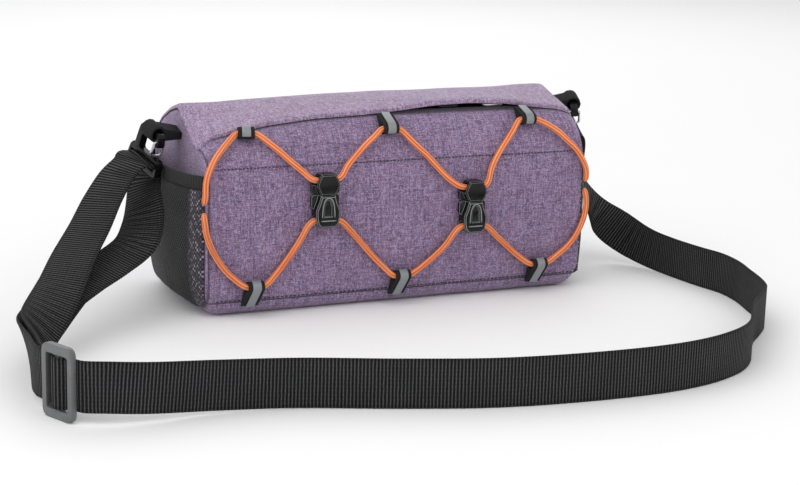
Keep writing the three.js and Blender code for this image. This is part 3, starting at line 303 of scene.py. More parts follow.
# The strap: share of the length along and to the back, share of the hook's height, and, where it isn't
# upright, the direction across the strap
STRAP_RUN = [
    (0.615, 0.004, 0.483, (0.25, 0.85, 0.4)),
    (0.662, 0.025, 0.309, (0.3, 0.7, 0.6)),
    (0.711, 0.025, 0.166, (0.35, 0.45, 0.8)),
    (0.758, -0.021, 0.064, (0.25, 0.15, 0.95)),
    (0.783, -0.1, 0.013, (0.08, 0, 1)),
    (0.796, -0.2, 0),
    (0.808, -0.313, 0),
    (0.821, -0.388, 0),
    (0.813, -0.471, 0),
    (0.787, -0.558, 0),
    (0.76, -0.642, 0),
    (0.733, -0.7, 0),
    (0.683, -0.754, 0),
    (0.625, -0.808, 0),
    (0.571, -0.875, 0),
    (0.527, -0.935, 0),
    (0.471, -0.985, 0),
    (0.375, -1.031, 0),
    (0.258, -1.056, 0),
    (0.071, -1.056, 0),
    (-0.146, -1.027, 0),
    (-0.342, -0.965, 0),
    (-0.529, -0.896, 0.002),
    (-0.688, -0.871, 0.013),
    (-0.833, -0.875, 0.039),
    (-0.912, -0.863, 0.052),
]
STRAP_HANGING = [
    (-1.012, -0.667, 0.042),
    (-0.996, -0.592, 0.025, (-0.03, 0, 1)),
    (-0.988, -0.517, 0.021, (-0.22, 0.05, 0.97)),
    (-0.966, -0.447, 0.033, (-0.55, 0.15, 0.82)),
    (-0.925, -0.383, 0.069, (-0.85, 0.3, 0.42)),
    (-0.869, -0.308, 0.13, (-0.93, 0.32, 0.1)),
    (-0.804, -0.258, 0.19, (-0.93, 0.33, 0.05)),
    (-0.727, -0.212, 0.256, (-0.9, 0.38, 0.05)),
    (-0.656, -0.163, 0.333, (-0.82, 0.52, 0.08)),
    (-0.614, -0.085, 0.432, (-0.6, 0.78, 0.02)),
    (-0.595, -0.022, 0.553, (-0.3, 0.95, 0.1)),
]
STRAP_OUTER = [
    (-0.626, -0.033, 0.767, (-0.25, 0.95, 0.18)),
    (-0.664, -0.05, 0.701, (-0.4, 0.9, 0.15)),
    (-0.71, -0.087, 0.58, (-0.58, 0.81, 0.07)),
    (-0.757, -0.144, 0.448, (-0.7, 0.7, 0.04)),
    (-0.815, -0.221, 0.322, (-0.86, 0.48, 0)),
    (-0.873, -0.317, 0.196, (-0.93, 0.32, 0.1)),
    (-0.921, -0.394, 0.113, (-0.85, 0.3, 0.42)),
    (-0.955, -0.453, 0.062, (-0.55, 0.15, 0.82)),
    (-0.976, -0.52, 0.036, (-0.22, 0.05, 0.97)),
    (-0.984, -0.594, 0.031, (-0.03, 0, 1)),
    (-1, -0.673, 0.044),
]
HOOKS = {
    "left": (-1, -0.043, 0.797, (0.25, -0.92, -0.29), (0.2, -0.24, 0.95)),
    "right": (1, -0.024, 0.856, (-0.25, -0.92, -0.29), (-0.2, -0.24, 0.95)),
}
SLIDER_PLACE = (-0.99, -0.798)
SLIDER_TOWARD_HOOK = (-0.4, 0.92, 0)


# Camera, floor and light

def make_camera():
    yaw, pitch, roll = (math.radians(angle) for angle in (CAMERA_YAW, CAMERA_PITCH, CAMERA_ROLL))
    forward = Vector((math.sin(yaw) * math.cos(pitch), math.cos(yaw) * math.cos(pitch), -math.sin(pitch)))
    right = Vector((math.cos(yaw), -math.sin(yaw), 0))
    up = right.cross(forward)
    rolled_right = math.cos(roll) * right + math.sin(roll) * up
    rolled_up = -math.sin(roll) * right + math.cos(roll) * up
    data = bpy.data.cameras.new("camera")
    data.lens = CAMERA_LENS
    data.sensor_width = CAMERA_SENSOR
    data.clip_end = 50
    camera = bpy.data.objects.new("camera", data)
    bpy.context.scene.collection.objects.link(camera)
    turn = Matrix((rolled_right, rolled_up, -forward)).transposed()
    camera.matrix_world = Matrix.Translation(Vector(CAMERA_PLACE) * MM) @ turn.to_4x4()
    bpy.context.scene.camera = camera


def make_light(name, place, aim, size, watts):
    data = bpy.data.lights.new(name, "AREA")
    data.shape = "DISK"
    data.size = size
    data.energy = watts
    light = bpy.data.objects.new(name, data)
    bpy.context.scene.collection.objects.link(light)
    light.location = place
    light.rotation_euler = (Vector(aim) - Vector(place)).to_track_quat("-Z", "Y").to_euler()


def make_studio():
    for light in LIGHTS:
        make_light(*light)
    world = bpy.data.worlds.new("studio")
    world.use_nodes = True
    backdrop = world.node_tree.nodes["Background"]
    backdrop.inputs["Color"].default_value = (1, 1, 1, 1)
    backdrop.inputs["Strength"].default_value = BACKDROP_LEVEL
    bpy.context.scene.world = world
    bpy.context.scene.view_settings.view_transform = "Standard"


# Materials

def tone(red, green, blue):
    """A colour as a painter reads it, 0 to 255, in the light values that the shader takes."""
    def linear(value):
        value /= 255
        return value / 12.92 if value <= 0.04045 else ((value + 0.055) / 1.055) ** 2.4
    return (linear(red), linear(green), linear(blue), 1)


def sum_of(operation, turned=False):
    """A method that adds one node of arithmetic. Turned, the two numbers change places."""
    def method(first, *others):
        numbers = (first, *others)
        values = dict(enumerate(numbers[::-1] if turned else numbers))
        return first.finish.amount("ShaderNodeMath", {"operation": operation}, values)
    return method


class Amount:
    """A number that changes over a surface. Sums on it add the nodes that work it out."""

    def __init__(self, finish, socket):
        self.finish = finish
        self.socket = socket

    __add__ = __radd__ = sum_of("ADD")
    __sub__ = sum_of("SUBTRACT")
    __rsub__ = sum_of("SUBTRACT", turned=True)
    __mul__ = __rmul__ = sum_of("MULTIPLY")
    __truediv__ = sum_of("DIVIDE")
    __gt__ = sum_of("GREATER_THAN")
    __lt__ = sum_of("LESS_THAN")
    sine = sum_of("SINE")
    size = sum_of("ABSOLUTE")
    least = sum_of("MINIMUM")
    most = sum_of("MAXIMUM")
    power = sum_of("POWER")

    def wave(self, pitch):
        """Waves between 0 and 1, a pitch in millimetres apart."""
        return (self * (2 * math.pi / (pitch * MM))).sine() * 0.5 + 0.5

    def band(self, low, high):
        """0 below low, 1 above high, straight between them."""
        values = {"Value": self, "From Min": low, "From Max": high}
        return self.finish.amount("ShaderNodeMapRange", {}, values)


class Finish:
    """A material, with its shader and the means to add nodes to it. Mirror 0.5 is usual, 0.2 is dull."""

    def __init__(self, name, colour, roughness, metallic=0.0, mirror=0.5, sheen=0.0):
        self.material = bpy.data.materials.new(name)
        self.material.use_nodes = True
        self.tree = self.material.node_tree
        self.shader = self.tree.nodes["Principled BSDF"]
        levels = {
            "Base Color": colour,
            "Roughness": roughness,
            "Metallic": metallic,
            "Specular IOR Level": mirror,
            "Sheen Weight": sheen,
        }
        for key, value in levels.items():
            self.shader.inputs[key].default_value = value

    def node(self, kind, settings, values):
        made = self.tree.nodes.new(kind)
        for key, value in settings.items():
            setattr(made, key, value)
        for key, value in values.items():
            if isinstance(value, Amount):
                value = value.socket
            if isinstance(value, bpy.types.NodeSocket):
                self.tree.links.new(value, made.inputs[key])
            else:
                made.inputs[key].default_value = value
        return made

    def amount(self, kind, settings, values):
        return Amount(self, self.node(kind, settings, values).outputs[0])

    def parts(self, kind, output):
        """The three parts of a place or direction that a node gives."""
        whole = self.node(kind, {}, {}).outputs[output]
        split = self.node("ShaderNodeSeparateXYZ", {}, {0: whole})
        return [Amount(self, out) for out in split.outputs]

    def place(self):
        """The X, Y and Z of a point of the piece, in metres."""
        return self.parts("ShaderNodeTexCoord", "Object")

    def along_and_across(self):
        """The distances along and across a strip or cord, from its own map."""
        return self.parts("ShaderNodeTexCoord", "UV")[:2]

    def facing(self):
        """The direction in which the surface faces."""
        return self.parts("ShaderNodeNewGeometry", "Normal")

    def cloud(self, place, scale, detail=2.0, roughness=0.5):
        """Soft noise from 0 to 1 at a place of three numbers."""
        point = self.node("ShaderNodeCombineXYZ", {}, dict(enumerate(place))).outputs[0]
        values = {"Vector": point, "Scale": scale, "Detail": detail, "Roughness": roughness}
        return self.amount("ShaderNodeTexNoise", {"noise_dimensions": "3D"}, values)

    def mix(self, mask, colour, other):
        values = {0: mask, 6: colour, 7: other}
        return self.node("ShaderNodeMix", {"data_type": "RGBA"}, values).outputs[2]

    def paint(self, colour):
        self.tree.links.new(colour, self.shader.inputs["Base Color"])

    def gloss(self, amount):
        self.tree.links.new(amount.socket, self.shader.inputs["Roughness"])

    def raised(self, height, depth):
        """The material with its surface raised by a height of 0 to 1, times a depth in millimetres."""
        bump = self.node("ShaderNodeBump", {}, {"Strength": 1.0, "Distance": depth * MM, "Height": height})
        self.tree.links.new(bump.outputs["Normal"], self.shader.inputs["Normal"])
        return self.material


def heather_cloth(name, dark, middle, light, seams):
    """Two-tone yarns that cross, one set along the bag and one round it, with darker and redder slubs."""
    finish = Finish(name, middle, 0.95, sheen=0.2)
    x, y, z = finish.place()
    on_end = finish.facing()[0].size() > 0.7
    level = x * (1 - on_end) + y * on_end
    across = y * (1 - on_end) + x * on_end
    weft = finish.cloud((level * YARN_STRETCH, across, z), 1800, 0.0)
    warp = finish.cloud((level, across * YARN_STRETCH, z * YARN_STRETCH), 1800, 0.0)
    long_slub = finish.cloud((level * 0.10, across, z), 1000, 1.0)
    tall_slub = finish.cloud((level, across * 0.08, z * 0.08), 1000, 1.0)
    speck = finish.cloud((x, y, z), 1500, 1.0)
    hue = finish.cloud((x, y, z), 620, 1.0)
    yarn = (weft + warp) * 0.5
    light_mask = (yarn * 0.5 + tall_slub * 0.1 + speck * 0.4).band(0.45, 0.60)
    dark_mask = (long_slub * 0.35 + tall_slub * 0.25 + speck * 0.4).band(0.50, 0.39)
    colour = finish.mix(light_mask, middle, light)
    colour = finish.mix(dark_mask * 0.7, colour, dark)
    colour = finish.mix(hue.band(0.52, 0.68) * 0.28, colour, tone(150, 96, 122))
    colour = finish.mix(hue.band(0.48, 0.32) * 0.28, colour, tone(96, 98, 152))
    wide = finish.cloud((x, y, z), 14)
    colour = finish.mix(wide.band(0.35, 0.75) * 0.1, colour, dark)
    height = yarn * 0.7 + speck * 0.3
    # With seams: dark seam grooves, and a strip of painted shade under the flap's edge
    if seams:
        line = seam_and_shade_lines(x, y, z)
        colour = finish.mix(line * 0.8, colour, tone(44, 34, 50))
        height = height - line * 3.0
    finish.paint(colour)
    return finish.raised(height, 0.2)


def seam_and_shade_lines(x, y, z):
    """1 in the thin grooves where the panels are sewn and in the painted shade under the flap's hem, 0
    elsewhere.
    """
    end_seam = (x.size() - (HALF_BAG - 1.2) * MM).size().band(0.7 * MM, 0.2 * MM)
    upright = y.band((LIP_Y - 6) * MM, (LIP_Y + 2) * MM) * 0.7 + (x < 0.0) * 0.7 + 0.15
    on_front = y < (FRONT_Y + BOTTOM_RADIUS) * MM
    foot_seam = (z - BOTTOM_SEAM_Z * MM).size().band(0.6 * MM, 0.2 * MM) * on_front
    stitch_seam = (z - STITCH_HEIGHT * MM).size().band(0.5 * MM, 0.15 * MM) * on_front * 0.25
    # Painted shade: a dark strip on the shell just under the flap's front edge
    under_flap = y.band((LIP_Y - FLAP_OVERHANG - 1.0) * MM, (LIP_Y - FLAP_OVERHANG + 0.4) * MM)
    above_slope = z > (STITCH_HEIGHT + 8) * MM
    hem_shade = under_flap * above_slope * (y < 0.0) * (x.size() < (HALF_BAG - 2.5) * MM)
    return (end_seam * upright.least(1.0)).most(foot_seam).most(stitch_seam).most(hem_shade)


def webbing():
    """Woven strap with ribs across it and lines of thread along it, from its own map."""
    colour = tone(11, 11, 12)
    finish = Finish("strap webbing", colour, 0.8, mirror=0.2)
    along, across = finish.along_and_across()
    wander = finish.cloud((along, across, 0.2), 300, 1.0) * 1.4
    rib = (along * (2 * math.pi / (STRAP_RIB_PITCH * MM)) + wander).sine() * 0.5 + 0.5
    thread = across.wave(STRAP_THREAD_PITCH)
    fuzz = finish.cloud((along, across, 0.0), 2600)
    worn = finish.cloud((along, across, 0.5), 60)
    selvage = across.size().band((STRAP_WIDTH / 2 - 1.6) * MM, (STRAP_WIDTH / 2 - 1.2) * MM)
    mask = rib.power(2.2) * (thread * 0.3 + 0.7) * (fuzz * 0.9 + 0.4) * (worn * 0.5 + 0.7)
    finish.paint(finish.mix((mask * (1 - selvage * 0.3)).least(1.0), colour, tone(96, 96, 98)))
    finish.gloss(rib * -0.2 + 0.85)
    return finish.raised(rib * 0.9 + thread * rib * 0.3 + fuzz * 0.15 - selvage * 0.4, 0.7)


def plain_weave():
    """Narrow woven tape on pieces without a map of their own."""
    colour = tone(24, 24, 25)
    finish = Finish("narrow webbing", colour, 0.85, mirror=0.2)
    x, y, z = finish.place()
    turn = 2 * math.pi / (TAPE_PITCH * MM)
    ribs = ((x * turn).sine() * ((z + y * 0.6) * turn).sine()) * 0.5 + 0.5
    fuzz = finish.cloud((x, y, z), 2400)
    finish.paint(finish.mix((ribs * 0.7 + fuzz * 0.6 - 0.3).band(0.1, 0.9), colour, tone(62, 62, 64)))
    return finish.raised(ribs + fuzz * 0.4, 0.3)


def knitted_mesh():
    """Staggered holes between knitted yarns, painted in: dark as painted shade behind the mesh, and beside
    the pocket's two seams as lit cloth behind it, a painted light.
    """
    dark = tone(15, 15, 16)
    finish = Finish("knitted mesh", dark, 0.7, mirror=0.3)
    along, up = finish.along_and_across()
    turn = 2 * math.pi / (KNIT_PITCH * MM)
    lattice = (along * turn).sine() * (up * (turn * 0.62)).sine() * 0.5 + 0.5
    fuzz = finish.cloud((along, up, 0.0), 1500)
    yarn = (lattice * 0.85 + fuzz * 0.25).band(0.38, 0.62)
    side = along.size().band(38 * MM, 43 * MM)
    gleam = finish.cloud((along, up, 0.3), 420, 0.0).band(0.5, 0.62)
    # The holes: painted shade, and beside the seams patches of painted lit cloth
    hole_shade_and_light = finish.mix(side * (gleam * 0.7 + 0.2), dark, tone(178, 164, 184))
    thread = finish.mix(fuzz.band(0.4, 0.7), tone(34, 34, 35), tone(70, 70, 72))
    finish.paint(finish.mix(yarn, hole_shade_and_light, thread))
    finish.gloss(yarn * -0.25 + 0.8)
    return finish.raised(yarn + fuzz * 0.3, 0.5)


def ribbed_elastic():
    """Upright ribs crossed by finer rows, with a step near both edges of the band."""
    colour = tone(30, 30, 31)
    finish = Finish("ribbed elastic", colour, 0.8, mirror=0.2)
    x, y, z = finish.place()
    rib = y.wave(ELASTIC_RIB_PITCH)
    row = z.wave(ELASTIC_ROW_PITCH)
    fuzz = finish.cloud((x, y, z), 1800)
    edge = (z - ELASTIC_MIDDLE * MM).size().band(3.0 * MM, 3.6 * MM)
    finish.paint(finish.mix((rib * 0.5 + row * 0.2 + fuzz * 0.4).band(0.3, 1.0), colour, tone(72, 72, 74)))
    return finish.raised(rib * 0.7 + row * 0.3 - edge * 0.8, 0.35)


def braided_cord():
    """Fine braid of long strands, with painted shade in the furrows between them and a pale strand colour
    that is partly the braid's own and partly a painted highlight.
    """
    finish = Finish("braided cord", tone(240, 122, 58), 0.55, sheen=0.1)
    along, across = finish.along_and_across()
    turn = 2 * math.pi
    strand = ((across * BRAID_STRANDS + along / (BRAID_TURN * MM)) * turn).sine() * 0.5 + 0.5
    weave = ((along / (BRAID_PITCH * MM) + across * BRAID_STRANDS) * turn).sine() * 0.5 + 0.5
    streak = finish.cloud((along * 0.08, across * 0.02, 0.0), 700, 1.0)
    mask = (strand * 0.55 + weave * 0.15 + streak * 0.5).band(0.3, 0.95)
    # Deep orange as painted shade in the furrows; pale orange on the strands, partly a painted highlight
    finish.paint(finish.mix(mask, tone(214, 84, 26), tone(255, 168, 108)))
    return finish.raised(strand * 0.8 + weave * 0.3, 0.12)


def reflective_tape():
    finish = Finish("reflective tape", tone(136, 140, 143), 0.38, 0.25)
    x, y, z = finish.place()
    turn = 2 * math.pi / (BEAD_PITCH * MM)
    beads = ((x + z) * turn).sine() * ((x - z) * turn).sine() * 0.5 + 0.5
    grain = finish.cloud((x, y, z), 3000, 1.0)
    finish.paint(finish.mix(beads * 0.5 + grain * 0.4, tone(112, 116, 119), tone(164, 168, 170)))
    finish.gloss(grain * 0.3 + 0.25)
    return finish.raised(beads, 0.05)


def moulded_plastic(name, colour, worn, roughness, texture, mirror=0.5):
    """Moulded plastic: fine grain, lighter where hands rub it."""
    finish = Finish(name, colour, roughness, mirror=mirror)
    place = finish.place()
    grain = finish.cloud(place, 2200, 3.0)
    patch = finish.cloud(place, 120, 3.0)
    finish.paint(finish.mix((patch * 0.8 + grain * 0.3).band(0.55, 0.85) * 0.5, colour, worn))
    finish.gloss((grain * 0.14 + patch * 0.14) + (roughness - 0.14))
    return finish.raised(grain, texture)


def drawn_steel():
    finish = Finish("drawn steel", tone(196, 197, 199), 0.22, 1.0)
    x, y, z = finish.place()
    scratch = finish.cloud((x * 3.0, y, z * 0.15), 1600)
    finish.paint(finish.mix(scratch, tone(170, 171, 174), tone(222, 223, 225)))
    finish.gloss(scratch * 0.25 + 0.12)
    return finish.raised(scratch, 0.02)


def sewing_thread(name, colour, lit):
    finish = Finish(name, colour, 0.6)
    x, y, z = finish.place()
    twist = (x + y + z).wave(THREAD_TWIST)
    finish.paint(finish.mix(twist, colour, lit))
    return finish.raised(twist, 0.05)


def hook_and_loop():
    """The fuzzy loop side of a fastening strap."""
    finish = Finish("hook and loop", tone(26, 26, 28), 0.95)
    place = finish.place()
    fuzz = finish.cloud(place, 900, 4.0, 0.7)
    curls = finish.cloud(place, 2600)
    finish.paint(finish.mix((fuzz * 0.6 + curls * 0.5).band(0.4, 0.75), tone(18, 18, 19), tone(58, 58, 61)))
    return finish.raised(fuzz * 0.6 + curls * 0.6, 0.6)


def pale_floor():
    dim = (0.97, 0.97, 0.97, 1)
    finish = Finish("pale floor", dim, 0.9)
    finish.paint(finish.mix(finish.cloud(finish.place(), 6), dim, (0.985, 0.985, 0.985, 1)))
    return finish.material


# The bag's surfaces

def look_up(table, column, at, spread=0.0):
    """A table's column at a place, rounded off over a spread so that the cloth shows no kinks."""
    at = np.asarray(at, float)
    if not spread:
        return np.interp(at, table[:, 0], table[:, column])
    total = np.zeros_like(at)
    shares = np.linspace(-1, 1, 9)
    weights = np.cos(shares * math.pi / 2) + 0.05
    for share, weight in zip(shares, weights):
        total += weight * np.interp(at + share * spread, table[:, 0], table[:, column])
    return total / weights.sum()


def along(column, x, soft=True):
    return look_up(ALONG_BAG, column, np.asarray(x) / BAG_LENGTH, LENGTH_EASE * soft)


def top_at(x, y, soft=True):
    """Height of the top's outer face."""
    gable = along(1, x, soft)
    across = np.asarray(y) / BAG_DEPTH
    middle, end = (look_up(TOP_OUTLINE, column, across, OUTLINE_EASE * soft) for column in (1, 2))
    return BAG_HEIGHT * (middle * (1 - gable) + end * gable + along(2, x, soft))


def gap_at(x, y):
    """How far the flap stands off the shell."""
    fade_back = np.clip(1 - (y - LIP_Y) / FLAP_GAP_DEPTH, 0, 1)
    return FLAP_GAP_HEIGHT * along(3, x) * fade_back ** 2


def lip_height(x, soft=True):
    return top_at(x, LIP_Y, soft) - FLAP_THICKNESS - CLEARANCE


def front_slope_at(x, back):
    return STITCH_HEIGHT + (lip_height(x) - STITCH_HEIGHT) * look_up(FRONT_SLOPE, 1, back, SLOPE_EASE)


def bulge_at(x, z, depth):
    upright = np.sin(math.pi * np.clip(z / STITCH_HEIGHT, 0, 1))
    return depth * upright * (1 - (2 * x / BAG_LENGTH) ** 4)


def face_y_at(x, z):
    """The front face's Y, on the upright panel or on the slope above the stitch line."""
    if z <= STITCH_HEIGHT:
        return FRONT_Y - bulge_at(x, z, FRONT_BULGE)
    rise = (z - STITCH_HEIGHT) / (lip_height(x, False) - STITCH_HEIGHT)
    back = np.interp(rise, FRONT_SLOPE[:, 1], FRONT_SLOPE[:, 0])
    return FRONT_Y + back * LIP_SET_BACK


def running(steps):
    return np.concatenate([[0], np.cumsum(steps)])


def distances(line):
    """How far each point of a line is from its first, along the line."""
    return running(np.linalg.norm(np.diff(line, axis=0), axis=1))


def points_at(wanted, run, line):
    """Points at wanted distances along a line whose own points lie at the distances in run."""
    return np.column_stack([np.interp(wanted, run, column) for column in line.T])


def evenly(points, count):
    """The same line with its points evenly apart."""
    points = np.array(points)
    run = distances(points)
    return points_at(np.linspace(0, run[-1], count + 1)[:-1], run, points)


def drawn_back(depth):
    """How far the rounded foot draws back at a depth into its rounding."""
    return FOOT_ROUNDING - math.sqrt(FOOT_ROUNDING ** 2 - max(depth, 0) ** 2)


def end_lift(x):
    """How far the foot rises towards the rounded corners at the bag's ends."""
    return drawn_back(min(abs(x) - HALF_BAG + FOOT_ROUNDING, FOOT_ROUNDING))


def unit(vector):
    return vector / np.linalg.norm(vector)


def square_to(ahead, vector):
    """A direction turned square to another."""
    return unit(vector - ahead * np.dot(vector, ahead))


def fade(distance, reach):
    """1 at a line, falling off smoothly to either side of it."""
    return math.exp(-(distance / reach) ** 2)


def arc(centre_y, start, end, count):
    angles = np.linspace(start, end, count)
    return [
        (centre_y + BOTTOM_RADIUS * math.cos(a), BOTTOM_RADIUS + BOTTOM_RADIUS * math.sin(a))
        for a in angles
    ]


def body_section(x):
    """One section of the bag, from the front's foot up, over the top and down the back."""
    low = evenly(arc(FRONT_Y + BOTTOM_RADIUS, 1.5 * math.pi, math.pi, 12), 6)
    heights = np.linspace(BOTTOM_RADIUS, STITCH_HEIGHT, 30)
    front = evenly([(FRONT_Y - bulge_at(x, z, FRONT_BULGE), z) for z in heights], 20)
    backs = np.linspace(0, 1, 40)
    slope = evenly([(FRONT_Y + b * LIP_SET_BACK, front_slope_at(x, b)) for b in backs], 9)
    tops = np.linspace(LIP_Y, BACK_SEAM_Y, 40)
    top = evenly([(y, top_at(x, y) - FLAP_THICKNESS - CLEARANCE) for y in tops], 18)
    step = [(BACK_SEAM_Y + CLEARANCE, top_at(x, BACK_SEAM_Y) - FLAP_THICKNESS)]
    shoulder_y = np.linspace(BACK_SEAM_Y + CLEARANCE, BAG_DEPTH / 2, 12)
    shoulder = [(y, top_at(x, y)) for y in shoulder_y]
    falls = np.linspace(top_at(x, BAG_DEPTH / 2), BOTTOM_RADIUS, 30)
    back = evenly(shoulder + [(BAG_DEPTH / 2 + bulge_at(x, z, BACK_BULGE), z) for z in falls], 24)
    corner = evenly(arc(BAG_DEPTH / 2 - BOTTOM_RADIUS, 0, -0.5 * math.pi, 12), 6)
    floor = evenly([(BAG_DEPTH / 2 - BOTTOM_RADIUS, 0), (FRONT_Y + BOTTOM_RADIUS, 0)], 16)
    section = np.vstack([low, front, slope, top, step, back, corner, floor])
    section[:, 1] += end_lift(x) * np.clip(1 - section[:, 1] / (2 * BOTTOM_RADIUS), 0, 1)
    return section


def inset_section(x, inset):
    section = body_section(x)
    high = top_at(x, 0)
    section[:, 0] *= 1 - 2 * inset / BAG_DEPTH
    section[:, 1] = inset + section[:, 1] * (1 - 2 * inset / high)
    return section


# Tools that make pieces

def new_piece(name, points, faces, material, maps=None):
    """A mesh piece from points in millimetres, which rides on the bag."""
    mesh = bpy.data.meshes.new(name)
    mesh.from_pydata([tuple(c * MM for c in p) for p in points], [], faces)
    if maps is not None:
        layer = mesh.uv_layers.new(name="map")
        for loop in mesh.loops:
            layer.data[loop.index].uv = maps[loop.vertex_index]
    mesh.materials.append(material)
    piece = bpy.data.objects.new(name, mesh)
    bpy.context.scene.collection.objects.link(piece)
    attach(piece, "bag")
    return piece


def choose_only(piece):
    for other in bpy.context.selected_objects:
        other.select_set(False)
    piece.hide_set(False)
    piece.select_set(True)
    bpy.context.view_layer.objects.active = piece


def edit_all(piece, *steps):
    """Takes steps of mesh editing, each with its settings, on all faces of a piece."""
    choose_only(piece)
    bpy.ops.object.mode_set(mode="EDIT")
    bpy.ops.mesh.select_all(action="SELECT")
    for step, settings in steps:
        step(**settings)
    bpy.ops.object.mode_set(mode="OBJECT")


def face_out(piece):
    edit_all(piece, (bpy.ops.mesh.normals_make_consistent, {"inside": False}))


def apply_modifier(piece, kind, **settings):
    choose_only(piece)
    modifier = piece.modifiers.new(kind.lower(), kind)
    for key, value in settings.items():
        setattr(modifier, key, value)
    bpy.ops.object.modifier_apply(modifier=modifier.name)


def round_edges(piece, radius, segments, angle, slot=-1):
    """Rounds the edges sharper than an angle. The new faces take the material in the slot, if given."""
    apply_modifier(
        piece, "BEVEL", width=radius * MM, segments=segments, limit_method="ANGLE",
        angle_limit=math.radians(angle), material=slot,
    )


def smooth(piece, angle=40):
    choose_only(piece)
    bpy.ops.object.shade_smooth_by_angle(angle=math.radians(angle))


def dress(node, stuff, material, body="bag", edge=0.3, segments=2, edge_highlight=None):
    """A copy of a piece of the frame with rounded edges, which take a paler finish as a painted highlight if
    one is given.
    """
    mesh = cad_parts[node].data.copy()
    mesh.materials.clear()
    mesh.materials.append(material)
    if edge_highlight:
        mesh.materials.append(edge_highlight)
    piece = bpy.data.objects.new(f"{node}_{stuff}", mesh)
    bpy.context.scene.collection.objects.link(piece)
    edit_all(
        piece,
        (bpy.ops.mesh.remove_doubles, {"threshold": 0.02 * MM}),
        (bpy.ops.mesh.dissolve_limited, {"angle_limit": math.radians(1)}),
    )
    if edge:
        round_edges(piece, edge, segments, 32, 1 if edge_highlight else -1)
    smooth(piece)
    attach(piece, body)
    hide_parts(node)
    return piece


def ring_faces(rings, count):
    faces = []
    for i in range(rings - 1):
        for j in range(count):
            k = (j + 1) % count
            faces.append((i * count + j, i * count + k, (i + 1) * count + k, (i + 1) * count + j))
    return faces


def tube_faces(rings, count):
    """The faces between rings of points, closed at both ends."""
    last = (rings - 1) * count
    return ring_faces(rings, count) + [tuple(range(count))[::-1], tuple(range(last, last + count))]


def catmull_rom(points, steps, power):
    """A smooth line through points. Power 0.5 keeps loops and overshoots out, 0 gives plain steps."""
    points = np.array(points, float)
    ends = (2 * points[0] - points[1], 2 * points[-1] - points[-2])
    padded = np.vstack([ends[0], points, ends[1]])
    line = []
    for i in range(1, len(padded) - 2):
        p0, p1, p2, p3 = padded[i - 1:i + 3]
        d1 = max(np.linalg.norm(p1 - p0), 1e-6) ** power
        d2 = max(np.linalg.norm(p2 - p1), 1e-6) ** power
        d3 = max(np.linalg.norm(p3 - p2), 1e-6) ** power
        m1 = (p2 - p1) + d2 * ((p1 - p0) / d1 - (p2 - p0) / (d1 + d2))
        m2 = (p2 - p1) + d2 * ((p3 - p2) / d3 - (p3 - p1) / (d2 + d3))
        for t in np.linspace(0, 1, steps, endpoint=False):
            a = 2 * t ** 3 - 3 * t ** 2 + 1
            b = t ** 3 - 2 * t ** 2 + t
            c = -2 * t ** 3 + 3 * t ** 2
            d = t ** 3 - t ** 2
            line.append(a * p1 + b * m1 + c * p2 + d * m2)
    line.append(padded[-2])
    return np.array(line)


# Soft pieces

def bag_shell(material):
    """The padded shell: a fine skin on the bag's sections, filled out by a cloth simulation."""
    straight = HALF_BAG - PANEL_SEAM - END_CORNER
    middle_xs = np.linspace(-straight, straight, 49)
    foot_xs = straight + END_CORNER * np.sin(np.linspace(0, math.pi / 2, 8))[1:]
    body_xs = np.concatenate([-foot_xs[::-1], middle_xs, foot_xs])
    rings = []
    cap_steps = [0.93, 0.85, 0.74, 0.6, 0.45, 0.3, 0.15]
    edge = [(HALF_BAG - 0.5, 0.5), (HALF_BAG, 1.6)]
    for side in (-1, 1):
        shown = [(side * x, inset_section(side * x, inset)) for x, inset in edge]
        middle = shown[-1][1].mean(axis=0)
        caps = [(side * HALF_BAG, middle + (shown[-1][1] - middle) * share) for share in cap_steps]
        if side < 0:
            rings += caps[::-1] + shown[::-1]
            rings += [(x, body_section(x)) for x in body_xs]
        else:
            rings += shown + caps
    count = len(rings[0][1])
    points = [(x, y, z) for x, section in rings for y, z in section]
    faces = ring_faces(len(rings), count)
    for start in (0, (len(rings) - 1) * count):
        middle = np.mean(points[start:start + count], axis=0)
        points.append(tuple(middle))
        hub = len(points) - 1
        for j in range(count):
            k = (j + 1) % count
            pair = (start + k, start + j) if start == 0 else (start + j, start + k)
            faces.append((hub, *pair))
    shell = new_piece("bag_shell_cloth", points, faces, material)
    face_out(shell)
    fill_out(shell)
    apply_modifier(shell, "SUBSURF", levels=1, render_levels=1)
    press_cords(shell)
    open_mouth(shell)
    apply_modifier(shell, "SOLIDIFY", thickness=WALL * MM, offset=-1, use_even_offset=True)
    smooth(shell, 60)
    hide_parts("bag_body")


def held_by_seams(x, y, z):
    """How firmly a point of the shell is held by its seams and by the floor, from 0 to 1."""
    by_end = np.clip(1 - (HALF_BAG - PANEL_SEAM - abs(x)) / SEAM_REACH, 0, 1)
    by_floor = 1.0 if z < FLOOR_HOLD or y > BAG_DEPTH / 2 - SEAM_REACH and z < BACK_HOLD else 0.0
    by_stitch = np.clip(1 - abs(z - STITCH_HEIGHT) / STITCH_REACH, 0, 1) if y < FRONT_Y + SEAM_REACH else 0
    by_top = 1.0 if LIP_Y - 5 < y < BACK_SEAM_Y + 3 and z > STITCH_HEIGHT else 0.0
    return float(max(by_end, by_floor, by_stitch, by_top))


